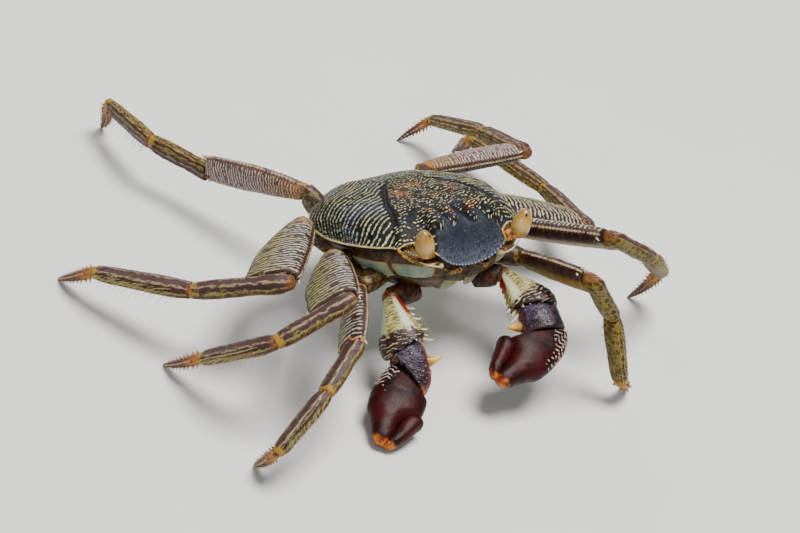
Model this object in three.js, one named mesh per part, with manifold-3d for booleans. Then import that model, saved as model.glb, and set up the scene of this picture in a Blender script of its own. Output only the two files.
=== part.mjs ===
// A lightfoot shore crab at life size, standing on its eight walking legs.
// Millimetres, +Z up, the floor at z = 0, the head toward +X and the crab's left toward +Y.
// Every hard plate is one closed solid, and neighbours keep a thin gap between them.
import * as THREE from "three";
import initManifold from "manifold-3d";

const wasm = await initManifold();
wasm.setup();
const { Manifold, Mesh: SolidMesh } = wasm;

// ---- Driving dimensions ----
const GAP = 0.34; // clearance between neighbouring plates
const BODY_HEIGHT = 39; // carapace centre over the floor
const BODY_PITCH = 18.4; // degrees, front edge raised
const BODY_ROLL = 1.1; // degrees, left side raised
const HALF_LENGTH_BACK = 28; // carapace centre to its hind margin
const HALF_LENGTH_FRONT = 27.3; // carapace centre to the edge of the front
const HALF_WIDTH = 32.5;
const DOME_HEIGHT = 6.6;
const FRONT_HALF_WIDTH = 12.6; // the downturned plate between the eyes
const FRONT_DROP = 10; // its lower edge below the carapace centre
const ORBIT_OUTER = 22.2; // sideways distance of the tooth outside each eye
const EYE = { x: 27.8, y: 18, z: -0.4, height: 9, width: 6 };

// Segment lengths of the four pairs of walking legs: merus, carpus, propodus, dactylus.
const LEG_LENGTHS = {
  1: [34, 18.2, 21.8, 14.9],
  2: [41, 22.8, 30.1, 18.1],
  3: [41.2, 28, 34, 18.2],
  4: [38, 21.5, 27.6, 16.4],
};
// Half widths of the four pairs: outer edge, inner edge and half thickness of the merus,
// then half width and half thickness of carpus and propodus, then of the dactylus.
const LEG_WIDTHS = {
  1: { merus: [4.2, 5.8, 2.5], shank: [3.5, 2.1], toe: [2.2, 1.5] },
  2: { merus: [4.6, 10.6, 2.9], shank: [3.2, 2.2], toe: [2.2, 1.6] },
  3: { merus: [5.2, 11.4, 3.1], shank: [3.3, 2.3], toe: [2.3, 1.7] },
  4: { merus: [3.8, 6.4, 2.7], shank: [3.1, 2.2], toe: [2.1, 1.5] },
};
// The stance. coxa is where a leg leaves the body, in body axes; hip is on the floor's axes;
// turn is the heading of each segment round +Z from +X, rise its climb over the horizontal.
// The last rise follows from the floor.
const STANCE = {
  R1: { coxa: [9.5, -20, -14.5], hip: [17.4, -30.6, 26.6], turn: [-35.8, -57.6, -69.4, 176], rise: [6.7, -22.7, -32] },
  R2: { coxa: [2.5, -22, -14.5], hip: [6.0, -32.9, 30.6], turn: [-31.2, -94.1, -160, -167], rise: [17.6, -28.7, -41.8] },
  R3: { coxa: [-9, -21.5, -13], hip: [-11.6, -32.3, 29.8], turn: [-42.7, -138, -153.8, -166], rise: [8.2, -27.1, -19.2] },
  R4: { coxa: [-19, -16.5, -11], hip: [-25.4, -22.5, 30.8], turn: [-159.5, -152.4, 179, 153], rise: [-19.8, 0.8, -8.2] },
  L1: { coxa: [10, 20, -14.5], hip: [21.5, 28.2, 29.2], turn: [-2, 79.8, 27.1, 120], rise: [24, -51.6, -66] },
  L2: { coxa: [2, 22, -14.5], hip: [4.3, 32.0, 29.0], turn: [19.2, 92, 120, -171], rise: [24.6, -30.2, -38.2] },
  L3: { coxa: [-9, 21.5, -13], hip: [-8.0, 32.0, 28.7], turn: [75, 170, -170, 160], rise: [-13, -9, -3] },
  L4: { coxa: [-19.5, 16.5, -11], hip: [-27.9, 24.5, 29.1], turn: [88, -179.5, 179, -146], rise: [2.4, -15.6, -25.3] },
};
// The claw arms: joints on the floor's axes, from the body to the finger tips, and the side
// of the hand that carries the movable finger, and the way its broad outer face looks.
const CLAWS = {
  R: { joints: [[20.8, -11.6, 24.4], [22, -21, 25.1], [36.2, -23.4, 16.2], [42.6, -24.6, 9.9], [57.4, -42, 2.9]], side: -1,
    face: [0.608, -0.568, 0.555] },
  L: { joints: [[20.8, 11.8, 24.9], [23, 19.9, 25.9], [39.7, 22.0, 24.2], [47.2, 21.6, 20], [55.4, -0.5, 14]], side: 1,
    face: [0.5, -0.4, 0.95] },
};

// The claw's hinges are set slantwise. The arm reaches past the elbow on the outer side, the wrist
// past its hinge on the inner side.
const ELBOW_SLANT = 0.38;
const WRIST_SLANT = 0.75;

const MATERIALS = {
  carapace: new THREE.MeshStandardMaterial({ color: 0x2b312b, roughness: 0.42, metalness: 0 }),
  underside: new THREE.MeshStandardMaterial({ color: 0x9fb3a0, roughness: 0.5, metalness: 0 }),
  leg: new THREE.MeshStandardMaterial({ color: 0x6e5c34, roughness: 0.42, metalness: 0 }),
  toe: new THREE.MeshStandardMaterial({ color: 0x8a4f26, roughness: 0.45, metalness: 0 }),
  arm: new THREE.MeshStandardMaterial({ color: 0x5a4a4c, roughness: 0.4, metalness: 0 }),
  hand: new THREE.MeshStandardMaterial({ color: 0x4b1118, roughness: 0.28, metalness: 0 }),
  eye: new THREE.MeshStandardMaterial({ color: 0xd9b36c, roughness: 0.25, metalness: 0 }),
};

const rad = THREE.MathUtils.degToRad;
const mix = THREE.MathUtils.lerp;
const smooth = THREE.MathUtils.smoothstep;

// ---- Solids from rings ----

// Closes a stack of rings, each with the same number of points, into one solid.
function stack(rings) {
  const count = rings[0].length;
  const points = rings.flat();
  const faces = [];
  for (let r = 0; r + 1 < rings.length; r += 1) {
    for (let i = 0; i < count; i += 1) {
      const a = r * count + i;
      const b = r * count + ((i + 1) % count);
      faces.push(a, b, b + count, a, b + count, a + count);
    }
  }
  for (const [ring, first, flip] of [[rings[0], 0, true], [rings.at(-1), (rings.length - 1) * count, false]]) {
    const centre = ring.reduce((sum, p) => sum.add(p), new THREE.Vector3()).divideScalar(count);
    const hub = points.push(centre) - 1;
    for (let i = 0; i < count; i += 1) {
      const a = first + i;
      const b = first + ((i + 1) % count);
      faces.push(...(flip ? [hub, b, a] : [hub, a, b]));
    }
  }
  const mesh = new SolidMesh({
    numProp: 3,
    vertProperties: new Float32Array(points.flatMap((p) => p.toArray())),
    triVerts: new Uint32Array(faces),
  });
  mesh.merge();
  return new Manifold(mesh);
}

// One closed oval ring across +X at x: z runs from -inner to +outer about shift, y to +-half.
function ovalRing(x, outer, inner, half, shift, count, power = 2.3) {
  const ring = [];
  for (let i = 0; i < count; i += 1) {
    const angle = (2 * Math.PI * (i + 0.5)) / count;
    const c = Math.cos(angle);
    const s = Math.sin(angle);
    const y = half * Math.sign(c) * Math.abs(c) ** (2 / power);
    const z = (s > 0 ? outer : inner) * Math.sign(s) * Math.abs(s) ** (2 / power);
    ring.push(new THREE.Vector3(x, y, z + shift));
  }
  return ring;
}

// A limb segment along +X from rows of [x, outer, inner, half thickness, shift], grown evenly.
function limb(rows, count, grow = 0) {
  const last = rows.length - 1;
  return stack(rows.map(([x, outer, inner, half, shift = 0], i) => {
    const along = i === 0 ? -grow : i === last ? grow : 0;
    return ovalRing(x + along, outer + grow, inner + grow, half + grow, shift, count);
  }));
}

// A slim cone from base to tip, for spines and teeth.
function spine(base, tip, radius) {
  const axis = new THREE.Vector3().subVectors(tip, base);
  const turn = new THREE.Quaternion().setFromUnitVectors(new THREE.Vector3(1, 0, 0), axis.clone().normalize());
  const long = axis.length();
  const rings = [[0, 1], [1, 0.14]].map(([t, size]) =>
    ovalRing(t * long, radius * size, radius * size, radius * size, 0, 5)
      .map((p) => p.applyQuaternion(turn).add(base)));
  return stack(rings);
}

function toGeometry(solid) {
  const mesh = solid.getMesh();
  const geometry = new THREE.BufferGeometry();
  geometry.setAttribute("position", new THREE.BufferAttribute(new Float32Array(mesh.vertProperties), 3));
  geometry.setIndex(new THREE.BufferAttribute(new Uint32Array(mesh.triVerts), 1));
  const flat = geometry.toNonIndexed();
  flat.computeVertexNormals();
  return flat;
}

// ---- Frames ----

const crab = new THREE.Group();
crab.name = "shore_crab";
const posed = new THREE.Group();
crab.add(posed);

const bodyFrame = new THREE.Matrix4().makeRotationFromEuler(
  new THREE.Euler(rad(BODY_ROLL), rad(-BODY_PITCH), 0, "YXZ")).setPosition(0, 0, BODY_HEIGHT);

// +X along the segment, +Y as near as can be to face.
function frameAlong(origin, direction, face) {
  const x = direction.clone().normalize();
  const y = face.clone().addScaledVector(x, -face.dot(x)).normalize();
  const z = new THREE.Vector3().crossVectors(x, y);
  return new THREE.Matrix4().makeBasis(x, y, z).setPosition(origin);
}

// A solid on the floor's axes, seen from a segment's own frame.
function seenFrom(frame, solid) {
  return solid.transform(frame.clone().invert().elements);
}

// Keeps the part of a segment that lies beyond a plane on the floor's axes.
function keepBeyond(solid, frame, point, normal) {
  const back = frame.clone().invert();
  const n = normal.clone().transformDirection(back);
  const p = point.clone().applyMatrix4(back);
  return solid.trimByPlane(n.toArray(), n.dot(p));
}

// The piece with the most volume, where a trim has left crumbs.
function largestPiece(solid) {
  return solid.decompose().sort((a, b) => b.volume() - a.volume())[0];
}

function addPlate(name, solid, frame, material) {
  const mesh = new THREE.Mesh(toGeometry(largestPiece(solid)), material);
  mesh.name = name;
  frame.decompose(mesh.position, mesh.quaternion, mesh.scale);
  posed.add(mesh);
}

function heading(turn, rise) {
  const level = Math.cos(rad(rise));
  return new THREE.Vector3(level * Math.cos(rad(turn)), level * Math.sin(rad(turn)), Math.sin(rad(rise)));
}

// ---- Carapace ----

// Half outline of the carapace rim, from the middle of the front to the middle of the back.
const RIM = [
  [HALF_LENGTH_FRONT, 0, -FRONT_DROP],
  [HALF_LENGTH_FRONT + 0.2, 0.62 * FRONT_HALF_WIDTH, -0.84 * FRONT_DROP],
  [HALF_LENGTH_FRONT - 0.2, FRONT_HALF_WIDTH, -0.5 * FRONT_DROP],
  [HALF_LENGTH_FRONT - 3.2, FRONT_HALF_WIDTH + 1.4, -3.6],
  [HALF_LENGTH_FRONT - 5.4, 0.5 * (FRONT_HALF_WIDTH + ORBIT_OUTER), -1.9],
  [HALF_LENGTH_FRONT - 6.2, ORBIT_OUTER - 1.2, -2.6],
  [HALF_LENGTH_FRONT - 6.6, ORBIT_OUTER + 0.2, -3.3],
  [18.4, 23.6, -3.5],
  [15.6, 26.6, -3.8],
  [10.5, 29.4, -4.3],
  [4, 31.8, -4.7],
  [-3, HALF_WIDTH, -4.9],
  [-11, 31.2, -4.5],
  [-18, 27.4, -3.6],
  [-23.6, 21.6, -2.6],
  [-27.2, 15.5, -1.9],
  [-HALF_LENGTH_BACK, 7, -1.6],
  [-HALF_LENGTH_BACK, 0, -1.6],
];

// The rim as one closed line of points, evenly split between its landmarks.
function rimPoints(perSide) {
  const right = RIM.map(([x, y, z]) => new THREE.Vector3(x, -y, z));
  const left = RIM.slice(1, -1).reverse().map(([x, y, z]) => new THREE.Vector3(x, y, z));
  const curve = new THREE.CatmullRomCurve3([...right, ...left], true, "centripetal");
  const points = curve.getPoints(2 * perSide).slice(0, -1);
  return points.reverse(); // counterclockwise seen from above
}

// Height of the dome at a share of the way from the crown (0) to the rim (1).
function domeHeight(share, rim) {
  const edge = 1 - share ** 2.6;
  const base = mix(rim.z, 0, smooth(1 - share, 0, 0.22));
  const facesFront = rim.x > 24 && Math.abs(rim.y) < FRONT_HALF_WIDTH + 1;
  const z = DOME_HEIGHT * edge + base * share ** 2;
  return facesFront && share > 0.9 ? mix(-0.2, rim.z, (share - 0.9) / 0.1) : z;
}

function carapaceSolid(grow = 0) {
  const rim = rimPoints(28);
  const shares = [0.3, 0.5, 0.68, 0.82, 0.9, 0.95, 1];
  const top = shares.map((share) => rim.map((p) => {
    const out = 1 + (grow / Math.hypot(p.x, p.y)) * share;
    return new THREE.Vector3(p.x * share * out, p.y * share * out, domeHeight(share, p) + grow);
  }));
  const lip = rim.map((p) => {
    const out = 1 + grow / Math.hypot(p.x, p.y);
    return new THREE.Vector3(p.x * out, p.y * out, p.z - 1 - grow);
  });
  const under = rim.map((p) => new THREE.Vector3(p.x * 0.9, p.y * 0.95, Math.max(p.z, -6.5) - 1.4 - grow));
  const floorOfShell = rim.map((p) => new THREE.Vector3(p.x * 0.4, p.y * 0.45, -5.2 - grow));
  return stack([floorOfShell, under, lip, ...top.reverse()]);
}

// ---- Eyes ----

// An upright egg for one eye, in body axes; side is +1 on the left.
function eyeSolid(side, grow = 0) {
  const centre = new THREE.Vector3(EYE.x, side * EYE.y, EYE.z);
  const lean = new THREE.Euler(rad(side * -14), rad(8), 0);
  const rings = [0.06, 0.22, 0.42, 0.62, 0.8, 0.95].map((t) => {
    const z = (t - 0.5) * (EYE.height + 2 * grow);
    const size = Math.sin(Math.PI * t) ** 0.62 * (1.06 - 0.25 * t) * (0.5 * EYE.width + grow);
    return Array.from({ length: 10 }, (_, i) => {
      const angle = (2 * Math.PI * i) / 10;
      return new THREE.Vector3(size * Math.cos(angle), size * Math.sin(angle), z).applyEuler(lean).add(centre);
    });
  });
  return stack(rings);
}

// The short stalk from the inner corner of the orbit out to the eye.
function stalkSolid(side, grow = 0) {
  const from = new THREE.Vector3(23.6, side * 11.6, -6);
  const to = new THREE.Vector3(EYE.x - 0.4, side * (EYE.y - 0.6), EYE.z - 2.4);
  const frame = frameAlong(from, to.clone().sub(from), new THREE.Vector3(0, 0, 1));
  const long = from.distanceTo(to);
  return limb([[0, 1.2, 1.2, 1.2], [0.3 * long, 1.5, 1.5, 1.5], [long, 2.1, 2.1, 2.1]], 10, grow).transform(frame.elements);
}

// ---- Trunk: side walls, mouth frame and breast plate below the carapace ----

const TRUNK_ROWS = [
  // z, front x, back x, half width
  [-21.2, 12, -9, 9],
  [-19.6, 17, -14, 14.5],
  [-16.4, 22, -18.5, 20],
  [-12.6, 25.2, -22, 24.5],
  [-8.6, 25.6, -24.4, 28],
  [-2, 21, -24.5, 28],
];

function trunkSolid(grow = 0) {
  const count = 26;
  const last = TRUNK_ROWS.length - 1;
  return stack(TRUNK_ROWS.map(([z, front, back, half], i) => {
    const level = z + (i === 0 ? -grow : i === last ? grow : 0);
    return Array.from({ length: count }, (_, k) => {
      const angle = (2 * Math.PI * k) / count;
      const c = Math.cos(angle);
      const s = Math.sin(angle);
      const x = mix(back, front, 0.5) + (0.5 * (front - back) + grow) * Math.sign(c) * Math.abs(c) ** 0.8;
      const y = (half + grow) * Math.sign(s) * Math.abs(s) ** 0.8;
      return new THREE.Vector3(x, y, level);
    });
  }));
}

// One of the two plates that close over the mouth.
function mouthPlateSolid(side, grow = 0) {
  const origin = new THREE.Vector3(24.6, side * 5.3, -10.6);
  const frame = frameAlong(origin, new THREE.Vector3(-0.66, 0, -1), new THREE.Vector3(1, side * 0.35, 0));
  const rows = [[0, 2.2, 2.2, 0.8], [1.2, 3.6, 3.6, 1.2], [5, 4.3, 4.3, 1.4], [8, 3.6, 3.6, 1.2], [10.4, 2, 2, 0.9]];
  return limb(rows, 12, grow).transform(frame.elements);
}

// The tail, folded down behind the body and forward under the breast.
function abdomenSolid(grow = 0) {
  const path = new THREE.CatmullRomCurve3([
    [-26.6, 0, -4.8], [-28.2, 0, -8], [-26.6, 0, -12.2], [-22, 0, -16.4], [-14, 0, -20.4], [-4, 0, -22.6], [7, 0, -22.9],
  ].map((p) => new THREE.Vector3(...p)));
  const halfWidths = [10, 11.6, 12.2, 11.4, 10, 8.2, 6.4, 4.6, 2.4];
  const last = halfWidths.length - 1;
  return stack(halfWidths.map((half, i) => {
    const t = i / last;
    const point = path.getPointAt(t);
    const along = path.getTangentAt(t);
    const out = new THREE.Vector3(along.z, 0, -along.x);
    const end = i === 0 ? -grow : i === last ? grow : 0;
    return ovalRing(0, half + grow, half + grow, 1.05 + grow, 0, 14, 2.8).map((p) =>
      point.clone().addScaledVector(out, p.y).addScaledVector(along, end).add(new THREE.Vector3(0, p.z, 0)));
  }));
}

function buildBody() {
  const sockets = [-1, 1].map((side) => eyeSolid(side, 0.55).add(stalkSolid(side, GAP)));
  const shell = carapaceSolid().subtract(sockets[0]).subtract(sockets[1]);
  const mouth = [-1, 1].map((side) => mouthPlateSolid(side));
  const tail = abdomenSolid();
  const trunk = trunkSolid().subtract(carapaceSolid(GAP)).subtract(abdomenSolid(GAP))
    .subtract(sockets[0]).subtract(sockets[1])
    .subtract(mouthPlateSolid(-1, GAP)).subtract(mouthPlateSolid(1, GAP));
  addPlate("carapace", shell, bodyFrame, MATERIALS.carapace);
  addPlate("trunk", trunk, bodyFrame, MATERIALS.underside);
  addPlate("abdomen", tail.subtract(carapaceSolid(GAP)), bodyFrame, MATERIALS.underside);
  [-1, 1].forEach((side, i) => {
    const tag = side < 0 ? "right" : "left";
    addPlate(`mouth_plate_${tag}`, mouth[i].subtract(carapaceSolid(GAP)), bodyFrame, MATERIALS.underside);
    addPlate(`eye_${tag}`, eyeSolid(side), bodyFrame, MATERIALS.eye);
    addPlate(`eyestalk_${tag}`, stalkSolid(side).subtract(eyeSolid(side, GAP)), bodyFrame, MATERIALS.eye);
  });
}

// What the limbs must keep clear of, on the floor's axes.
const bodyKeepOut = carapaceSolid(GAP).add(trunkSolid(GAP)).transform(bodyFrame.elements);

// ---- Walking legs ----

// Trims two neighbours at their joint by one plane square to normal, half a gap to each side.
function partAt(joint, normal, before, after) {
  const n = normal.clone().normalize();
  before.solid = keepBeyond(before.solid, before.frame, joint.clone().addScaledVector(n, -GAP / 2), n.clone().negate());
  after.solid = keepBeyond(after.solid, after.frame, joint.clone().addScaledVector(n, GAP / 2), n);
}

function buildLeg(name, stance) {
  const pair = name[1];
  const lengths = LEG_LENGTHS[pair];
  const { merus, shank, toe } = LEG_WIDTHS[pair];
  const coxa = new THREE.Vector3(...stance.coxa).applyMatrix4(bodyFrame);
  const joints = [coxa, new THREE.Vector3(...stance.hip)];
  const ways = [joints[1].clone().sub(coxa).normalize()];
  for (let i = 0; i < 4; i += 1) {
    const drop = -THREE.MathUtils.radToDeg(Math.asin(joints.at(-1).z / lengths[i]));
    const way = heading(stance.turn[i], i < 3 ? stance.rise[i] : drop);
    ways.push(way);
    joints.push(joints.at(-1).clone().addScaledVector(way, lengths[i]));
  }
  const face = new THREE.Vector3().crossVectors(ways[1], ways[2]);
  const [outer, inner, half] = merus;
  const [wide, thin] = shank;
  const [toeWide, toeThin] = toe;
  const rows = [
    [[-2, 3.2, 3.2, 3], [3, 3.8, 3.8, 3.4], [0.75, 3.8, 3.9, 3.1, "end"], [1.1, 2.9, 2.9, 2.4, "end"]],
    [[-0.06, 0.5, 0.3, 0.7], [0.04, 0.72, 0.44, 0.95], [0.2, 0.88, 0.72, 1.04], [0.45, 1, 0.98, 1.06],
      [0.72, 1, 1.04, 1], [0.92, 0.9, 1.02, 0.9], [1.04, 0.7, 0.88, 0.7]],
    [[-0.13, 0.72, 0.6, 0.8], [-0.03, 1.02, 0.9, 1.05], [0.3, 0.98, 0.95, 1.02], [0.75, 1.04, 1.04, 1.06], [1.03, 0.86, 0.86, 0.9]],
    [[-0.03, 0.86, 0.86, 0.9], [0.2, 1.06, 1.06, 1.02], [0.6, 1, 1, 0.95], [0.92, 0.86, 0.86, 0.86], [1.03, 0.7, 0.7, 0.74]],
    [[-0.05, 0.8, 0.8, 0.9], [0.12, 1, 1, 1], [0.4, 0.84, 0.84, 0.84, 0.5], [0.7, 0.58, 0.58, 0.6, 0.45], [1.0, 0.2, 0.2, 0.24, 0]],
  ];
  const sizes = [[1, 1, 1], [outer, inner, half], [wide, wide, thin], [wide, wide, thin], [toeWide, toeWide, toeThin]];
  const segments = ways.map((way, i) => {
    const long = joints[i].distanceTo(joints[i + 1]);
    const [a, b, c] = sizes[i];
    const scaled = rows[i].map(([x, up, down, flat, shift]) => {
      const along = i === 0 && shift !== "end" ? x : x * long;
      return [along, up * a, down * b, flat * c, shift === "end" ? 0 : shift ?? 0];
    });
    const frame = frameAlong(joints[i], way, face);
    return { frame, solid: limb(scaled, i === 1 ? 10 : 8) };
  });
  for (let i = 0; i < 4; i += 1) {
    const bend = ways[i].dot(ways[i + 1]);
    const normal = ways[i].clone().add(ways[i + 1]);
    const joint = joints[i + 1].clone();
    if (i === 1 && bend < 0.8) {
      // A sharply bent knee: the merus ends square, and the carpus crosses its end.
      normal.copy(ways[1]);
      if (bend < 0) {
        normal.addScaledVector(ways[2], -bend);
      }
      joint.addScaledVector(normal.clone().normalize(), -wide * 0.85);
    }
    partAt(joint, normal, segments[i], segments[i + 1]);
  }
  segments[0].solid = segments[0].solid.subtract(seenFrom(segments[0].frame, bodyKeepOut));
  segments[1].solid = segments[1].solid.subtract(seenFrom(segments[1].frame, bodyKeepOut));
  const floorPoint = new THREE.Vector3(0, 0, 0);
  segments[4].solid = keepBeyond(segments[4].solid, segments[4].frame, floorPoint, new THREE.Vector3(0, 0, 1));
  const plates = ["base", "merus", "carpus", "propodus", "dactylus"];
  const side = name[0] === "R" ? "right" : "left";
  segments.forEach(({ solid, frame }, i) => {
    addPlate(`leg_${side}_${pair}_${plates[i]}`, solid, frame, i === 4 ? MATERIALS.toe : MATERIALS.leg);
  });
}

// ---- Claw arms ----

function buildClaw(tag, { joints, side, face }) {
  const points = joints.map((p) => new THREE.Vector3(...p));
  const ways = points.slice(1).map((p, i) => p.clone().sub(points[i]).normalize());
  const long = points.slice(1).map((p, i) => p.distanceTo(points[i]));
  const frames = ways.map((way, i) => frameAlong(points[i], way, new THREE.Vector3(...face)));
  const flip = (rows) => rows.map(([x, outer, inner, half, shift = 0]) =>
    side > 0 ? [x, outer, inner, half, shift] : [x, inner, outer, half, -shift]);
  const arm = flip([[-1.5, 1.4, 1.4, 1.5], [0.8, 2.6, 2.4, 2.5], [0.36 * long[1], 4.6, 4.2, 3.7],
    [0.76 * long[1], 7, 6.4, 5], [long[1] - 0.8, 7.6, 6.8, 5.4], [long[1] + 1.4, 6.6, 6.2, 5],
    [long[1] + 3.8, 4.8, 4.8, 4]]);
  const wrist = flip([[-4.2, 3.6, 3.2, 3], [-1.8, 5.4, 4.4, 4.2], [0.6, 6.4, 5.4, 5], [0.5 * long[2], 7, 5.8, 5.6],
    [long[2] + 2, 6.7, 5.2, 5.4], [long[2] + 5, 4.8, 4, 4.2]]);
  const palm = flip([[-4.6, 3.2, 4.2, 2.8], [-1.5, 5.4, 6.4, 4], [3, 7.4, 7.8, 4.7], [7.5, 8.2, 8.4, 4.9],
    [11.6, 7.4, 8.2, 4.7],
    [14, 5.4, 7, 4.3, -0.8], [17, 3.7, 5.2, 3.8, -0.8], [20.5, 3, 3.8, 3.1, -0.5], [long[3] - 0.6, 2.2, 2.6, 2.3, -0.2],
    [long[3] + 0.9, 1.1, 1.4, 1.3, 0.2]]);
  const finger = (grow) => limb(flip([[10.8, 1.6, 1.6, 2, 6.6], [12.4, 2.6, 2.6, 3, 6.7], [16, 2.5, 2.5, 2.9, 5.7],
    [20, 2.1, 2.1, 2.5, 4.5], [long[3] - 0.8, 1.7, 1.7, 2.1, 3.1], [long[3] + 0.9, 1, 1, 1.4, 2.2]]), 10, grow);
  const base = [[-1, 3.2, 3.2, 2.8], [0.5 * long[0], 3.5, 3.5, 3.2], [long[0] + 0.4, 2.9, 2.9, 2.6]];
  const segments = [
    { frame: frames[0], solid: limb(base, 10) },
    { frame: frames[1], solid: limb(arm, 12) },
    { frame: frames[2], solid: limb(wrist, 11) },
    { frame: frames[3], solid: limb(palm, 13).subtract(finger(GAP)) },
  ];
  // Sharp spines along the inner edge of the arm, and one strong spine inside the wrist.
  for (let i = 0; i < 4; i += 1) {
    const x = (0.34 + 0.17 * i) * long[1];
    const edge = side * (4.4 + 0.8 * i);
    const tooth = spine(new THREE.Vector3(x, 0.6, edge - side), new THREE.Vector3(x + 1.3, 1, edge + side * 2.1), 0.8);
    segments[1].solid = segments[1].solid.add(tooth);
  }
  const thorn = spine(new THREE.Vector3(0.45 * long[2], 0, side * 5), new THREE.Vector3(0.35 * long[2], 0.6, side * 11), 2.2);
  segments[2].solid = segments[2].solid.add(thorn);
  for (let i = 0; i < 3; i += 1) {
    const normal = ways[i].clone().add(ways[i + 1]).normalize();
    const inward = new THREE.Vector3().setFromMatrixColumn(frames[i + 1], 2).multiplyScalar(side);
    normal.addScaledVector(inward, [0, ELBOW_SLANT, -WRIST_SLANT][i]);
    partAt(points[i + 1], normal, segments[i], segments[i + 1]);
  }
  for (const segment of segments.slice(0, 2)) {
    segment.solid = segment.solid.subtract(seenFrom(segment.frame, bodyKeepOut));
  }
  const plates = ["base", "arm", "wrist", "palm"];
  segments.forEach(({ solid, frame }, i) => {
    addPlate(`claw_${tag}_${plates[i]}`, solid, frame, i < 2 ? MATERIALS.arm : MATERIALS.hand);
  });
  addPlate(`claw_${tag}_finger`, finger(0), frames[3], MATERIALS.hand);
}

buildBody();
for (const [name, stance] of Object.entries(STANCE)) {
  buildLeg(name, stance);
}
buildClaw("right", CLAWS.R);
buildClaw("left", CLAWS.L);

// The origin is the middle of the footprint, on the floor.
crab.updateMatrixWorld(true);
const bounds = new THREE.Box3().setFromObject(crab, true);
const middle = bounds.getCenter(new THREE.Vector3());
posed.position.set(-middle.x, -middle.y, 0);
crab.updateMatrixWorld(true);

export default crab;
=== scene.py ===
# %% [markdown]
# # A lightfoot shore crab, dressed over its solids
# The crab is already built as plain closed solids, one for each hard plate. They say where
# everything is. Here each plate is made again as a fine mesh with the ridges, beads, spines and
# hairs of the living shell, and each gets a painted finish. First the solids are loaded.

# %% Load the solids
import math

import bpy
import numpy as np
from mathutils import Matrix


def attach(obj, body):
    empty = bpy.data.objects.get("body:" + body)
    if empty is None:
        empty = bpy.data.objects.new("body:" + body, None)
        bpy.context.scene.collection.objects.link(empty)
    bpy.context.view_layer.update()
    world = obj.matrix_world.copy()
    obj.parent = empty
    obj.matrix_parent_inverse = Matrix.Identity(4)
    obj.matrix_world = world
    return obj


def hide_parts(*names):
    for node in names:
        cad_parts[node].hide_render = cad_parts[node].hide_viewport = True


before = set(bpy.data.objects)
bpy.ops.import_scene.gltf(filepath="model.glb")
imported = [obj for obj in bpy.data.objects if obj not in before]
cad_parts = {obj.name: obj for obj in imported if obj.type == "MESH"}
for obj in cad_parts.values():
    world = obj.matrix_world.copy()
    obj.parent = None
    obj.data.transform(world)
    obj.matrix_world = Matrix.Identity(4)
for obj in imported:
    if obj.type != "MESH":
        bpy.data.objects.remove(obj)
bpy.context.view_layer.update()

MM = 0.001

# %% [markdown]
# ## The measures
# The crab stands with its head toward +X and its left side toward +Y. All the measures are in
# millimetres, and they are the same ones that the solids were made from. The body has axes of
# its own, tipped up at the front, and the legs are given by where they start and by the heading
# and climb of each segment.

# %% The measures of the crab
GAP = 0.34
SHIFT = np.array([23.98, 4.19, 0.0])  # from the body's middle to the middle of the footprint
BODY_HEIGHT, BODY_PITCH, BODY_ROLL = 39.0, 18.4, 1.1
LENGTH_BACK, LENGTH_FRONT, HALF_WIDTH = 28.0, 27.3, 32.5
DOME = 6.6
FRONT_HALF, FRONT_DROP, ORBIT_OUTER = 12.6, 10.0, 22.2
EYE = {"x": 27.8, "y": 18.0, "z": -0.4, "height": 9.0, "width": 6.0}

LEG_LENGTHS = {
    1: [34, 18.2, 21.8, 14.9],
    2: [41, 22.8, 30.1, 18.1],
    3: [41.2, 28, 34, 18.2],
    4: [38, 21.5, 27.6, 16.4],
}
LEG_WIDTHS = {  # merus: outer, inner, half thickness; shank and toe: half width, half thickness
    1: ([4.2, 5.8, 2.5], [3.5, 2.1], [2.2, 1.5]),
    2: ([4.6, 10.6, 2.9], [3.2, 2.2], [2.2, 1.6]),
    3: ([5.2, 11.4, 3.1], [3.3, 2.3], [2.3, 1.7]),
    4: ([3.8, 6.4, 2.7], [3.1, 2.2], [2.1, 1.5]),
}
STANCE = {  # coxa on the body's axes, hip on the floor's, then headings and climbs
    "R1": ([9.5, -20, -14.5], [17.4, -30.6, 26.6], [-35.8, -57.6, -69.4, 176], [6.7, -22.7, -32]),
    "R2": ([2.5, -22, -14.5], [6.0, -32.9, 30.6], [-31.2, -94.1, -160, -167], [17.6, -28.7, -41.8]),
    "R3": ([-9, -21.5, -13], [-11.6, -32.3, 29.8], [-42.7, -138, -153.8, -166], [8.2, -27.1, -19.2]),
    "R4": ([-19, -16.5, -11], [-25.4, -22.5, 30.8], [-159.5, -152.4, 179, 153], [-19.8, 0.8, -8.2]),
    "L1": ([10, 20, -14.5], [21.5, 28.2, 29.2], [-2, 79.8, 27.1, 120], [24, -51.6, -66]),
    "L2": ([2, 22, -14.5], [4.3, 32.0, 29.0], [19.2, 92, 120, -171], [24.6, -30.2, -38.2]),
    "L3": ([-9, 21.5, -13], [-8.0, 32.0, 28.7], [75, 170, -170, 160], [-13, -9, -3]),
    "L4": ([-19.5, 16.5, -11], [-27.9, 24.5, 29.1], [88, -179.5, 179, -146], [2.4, -15.6, -25.3]),
}
CLAWS = {  # joints from the body to the finger tips, side of the finger, way the hand faces
    "right": ([[20.8, -11.6, 24.4], [22, -21, 25.1], [36.2, -23.4, 16.2], [42.6, -24.6, 9.9],
               [57.4, -42, 2.9]], -1, [0.608, -0.568, 0.555]),
    "left": ([[20.8, 11.8, 24.9], [23, 19.9, 25.9], [39.7, 22.0, 24.2], [47.2, 21.6, 20],
              [55.4, -0.5, 14]], 1, [0.5, -0.4, 0.95]),
}
SIDES = {-1: "right", 1: "left"}

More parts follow.
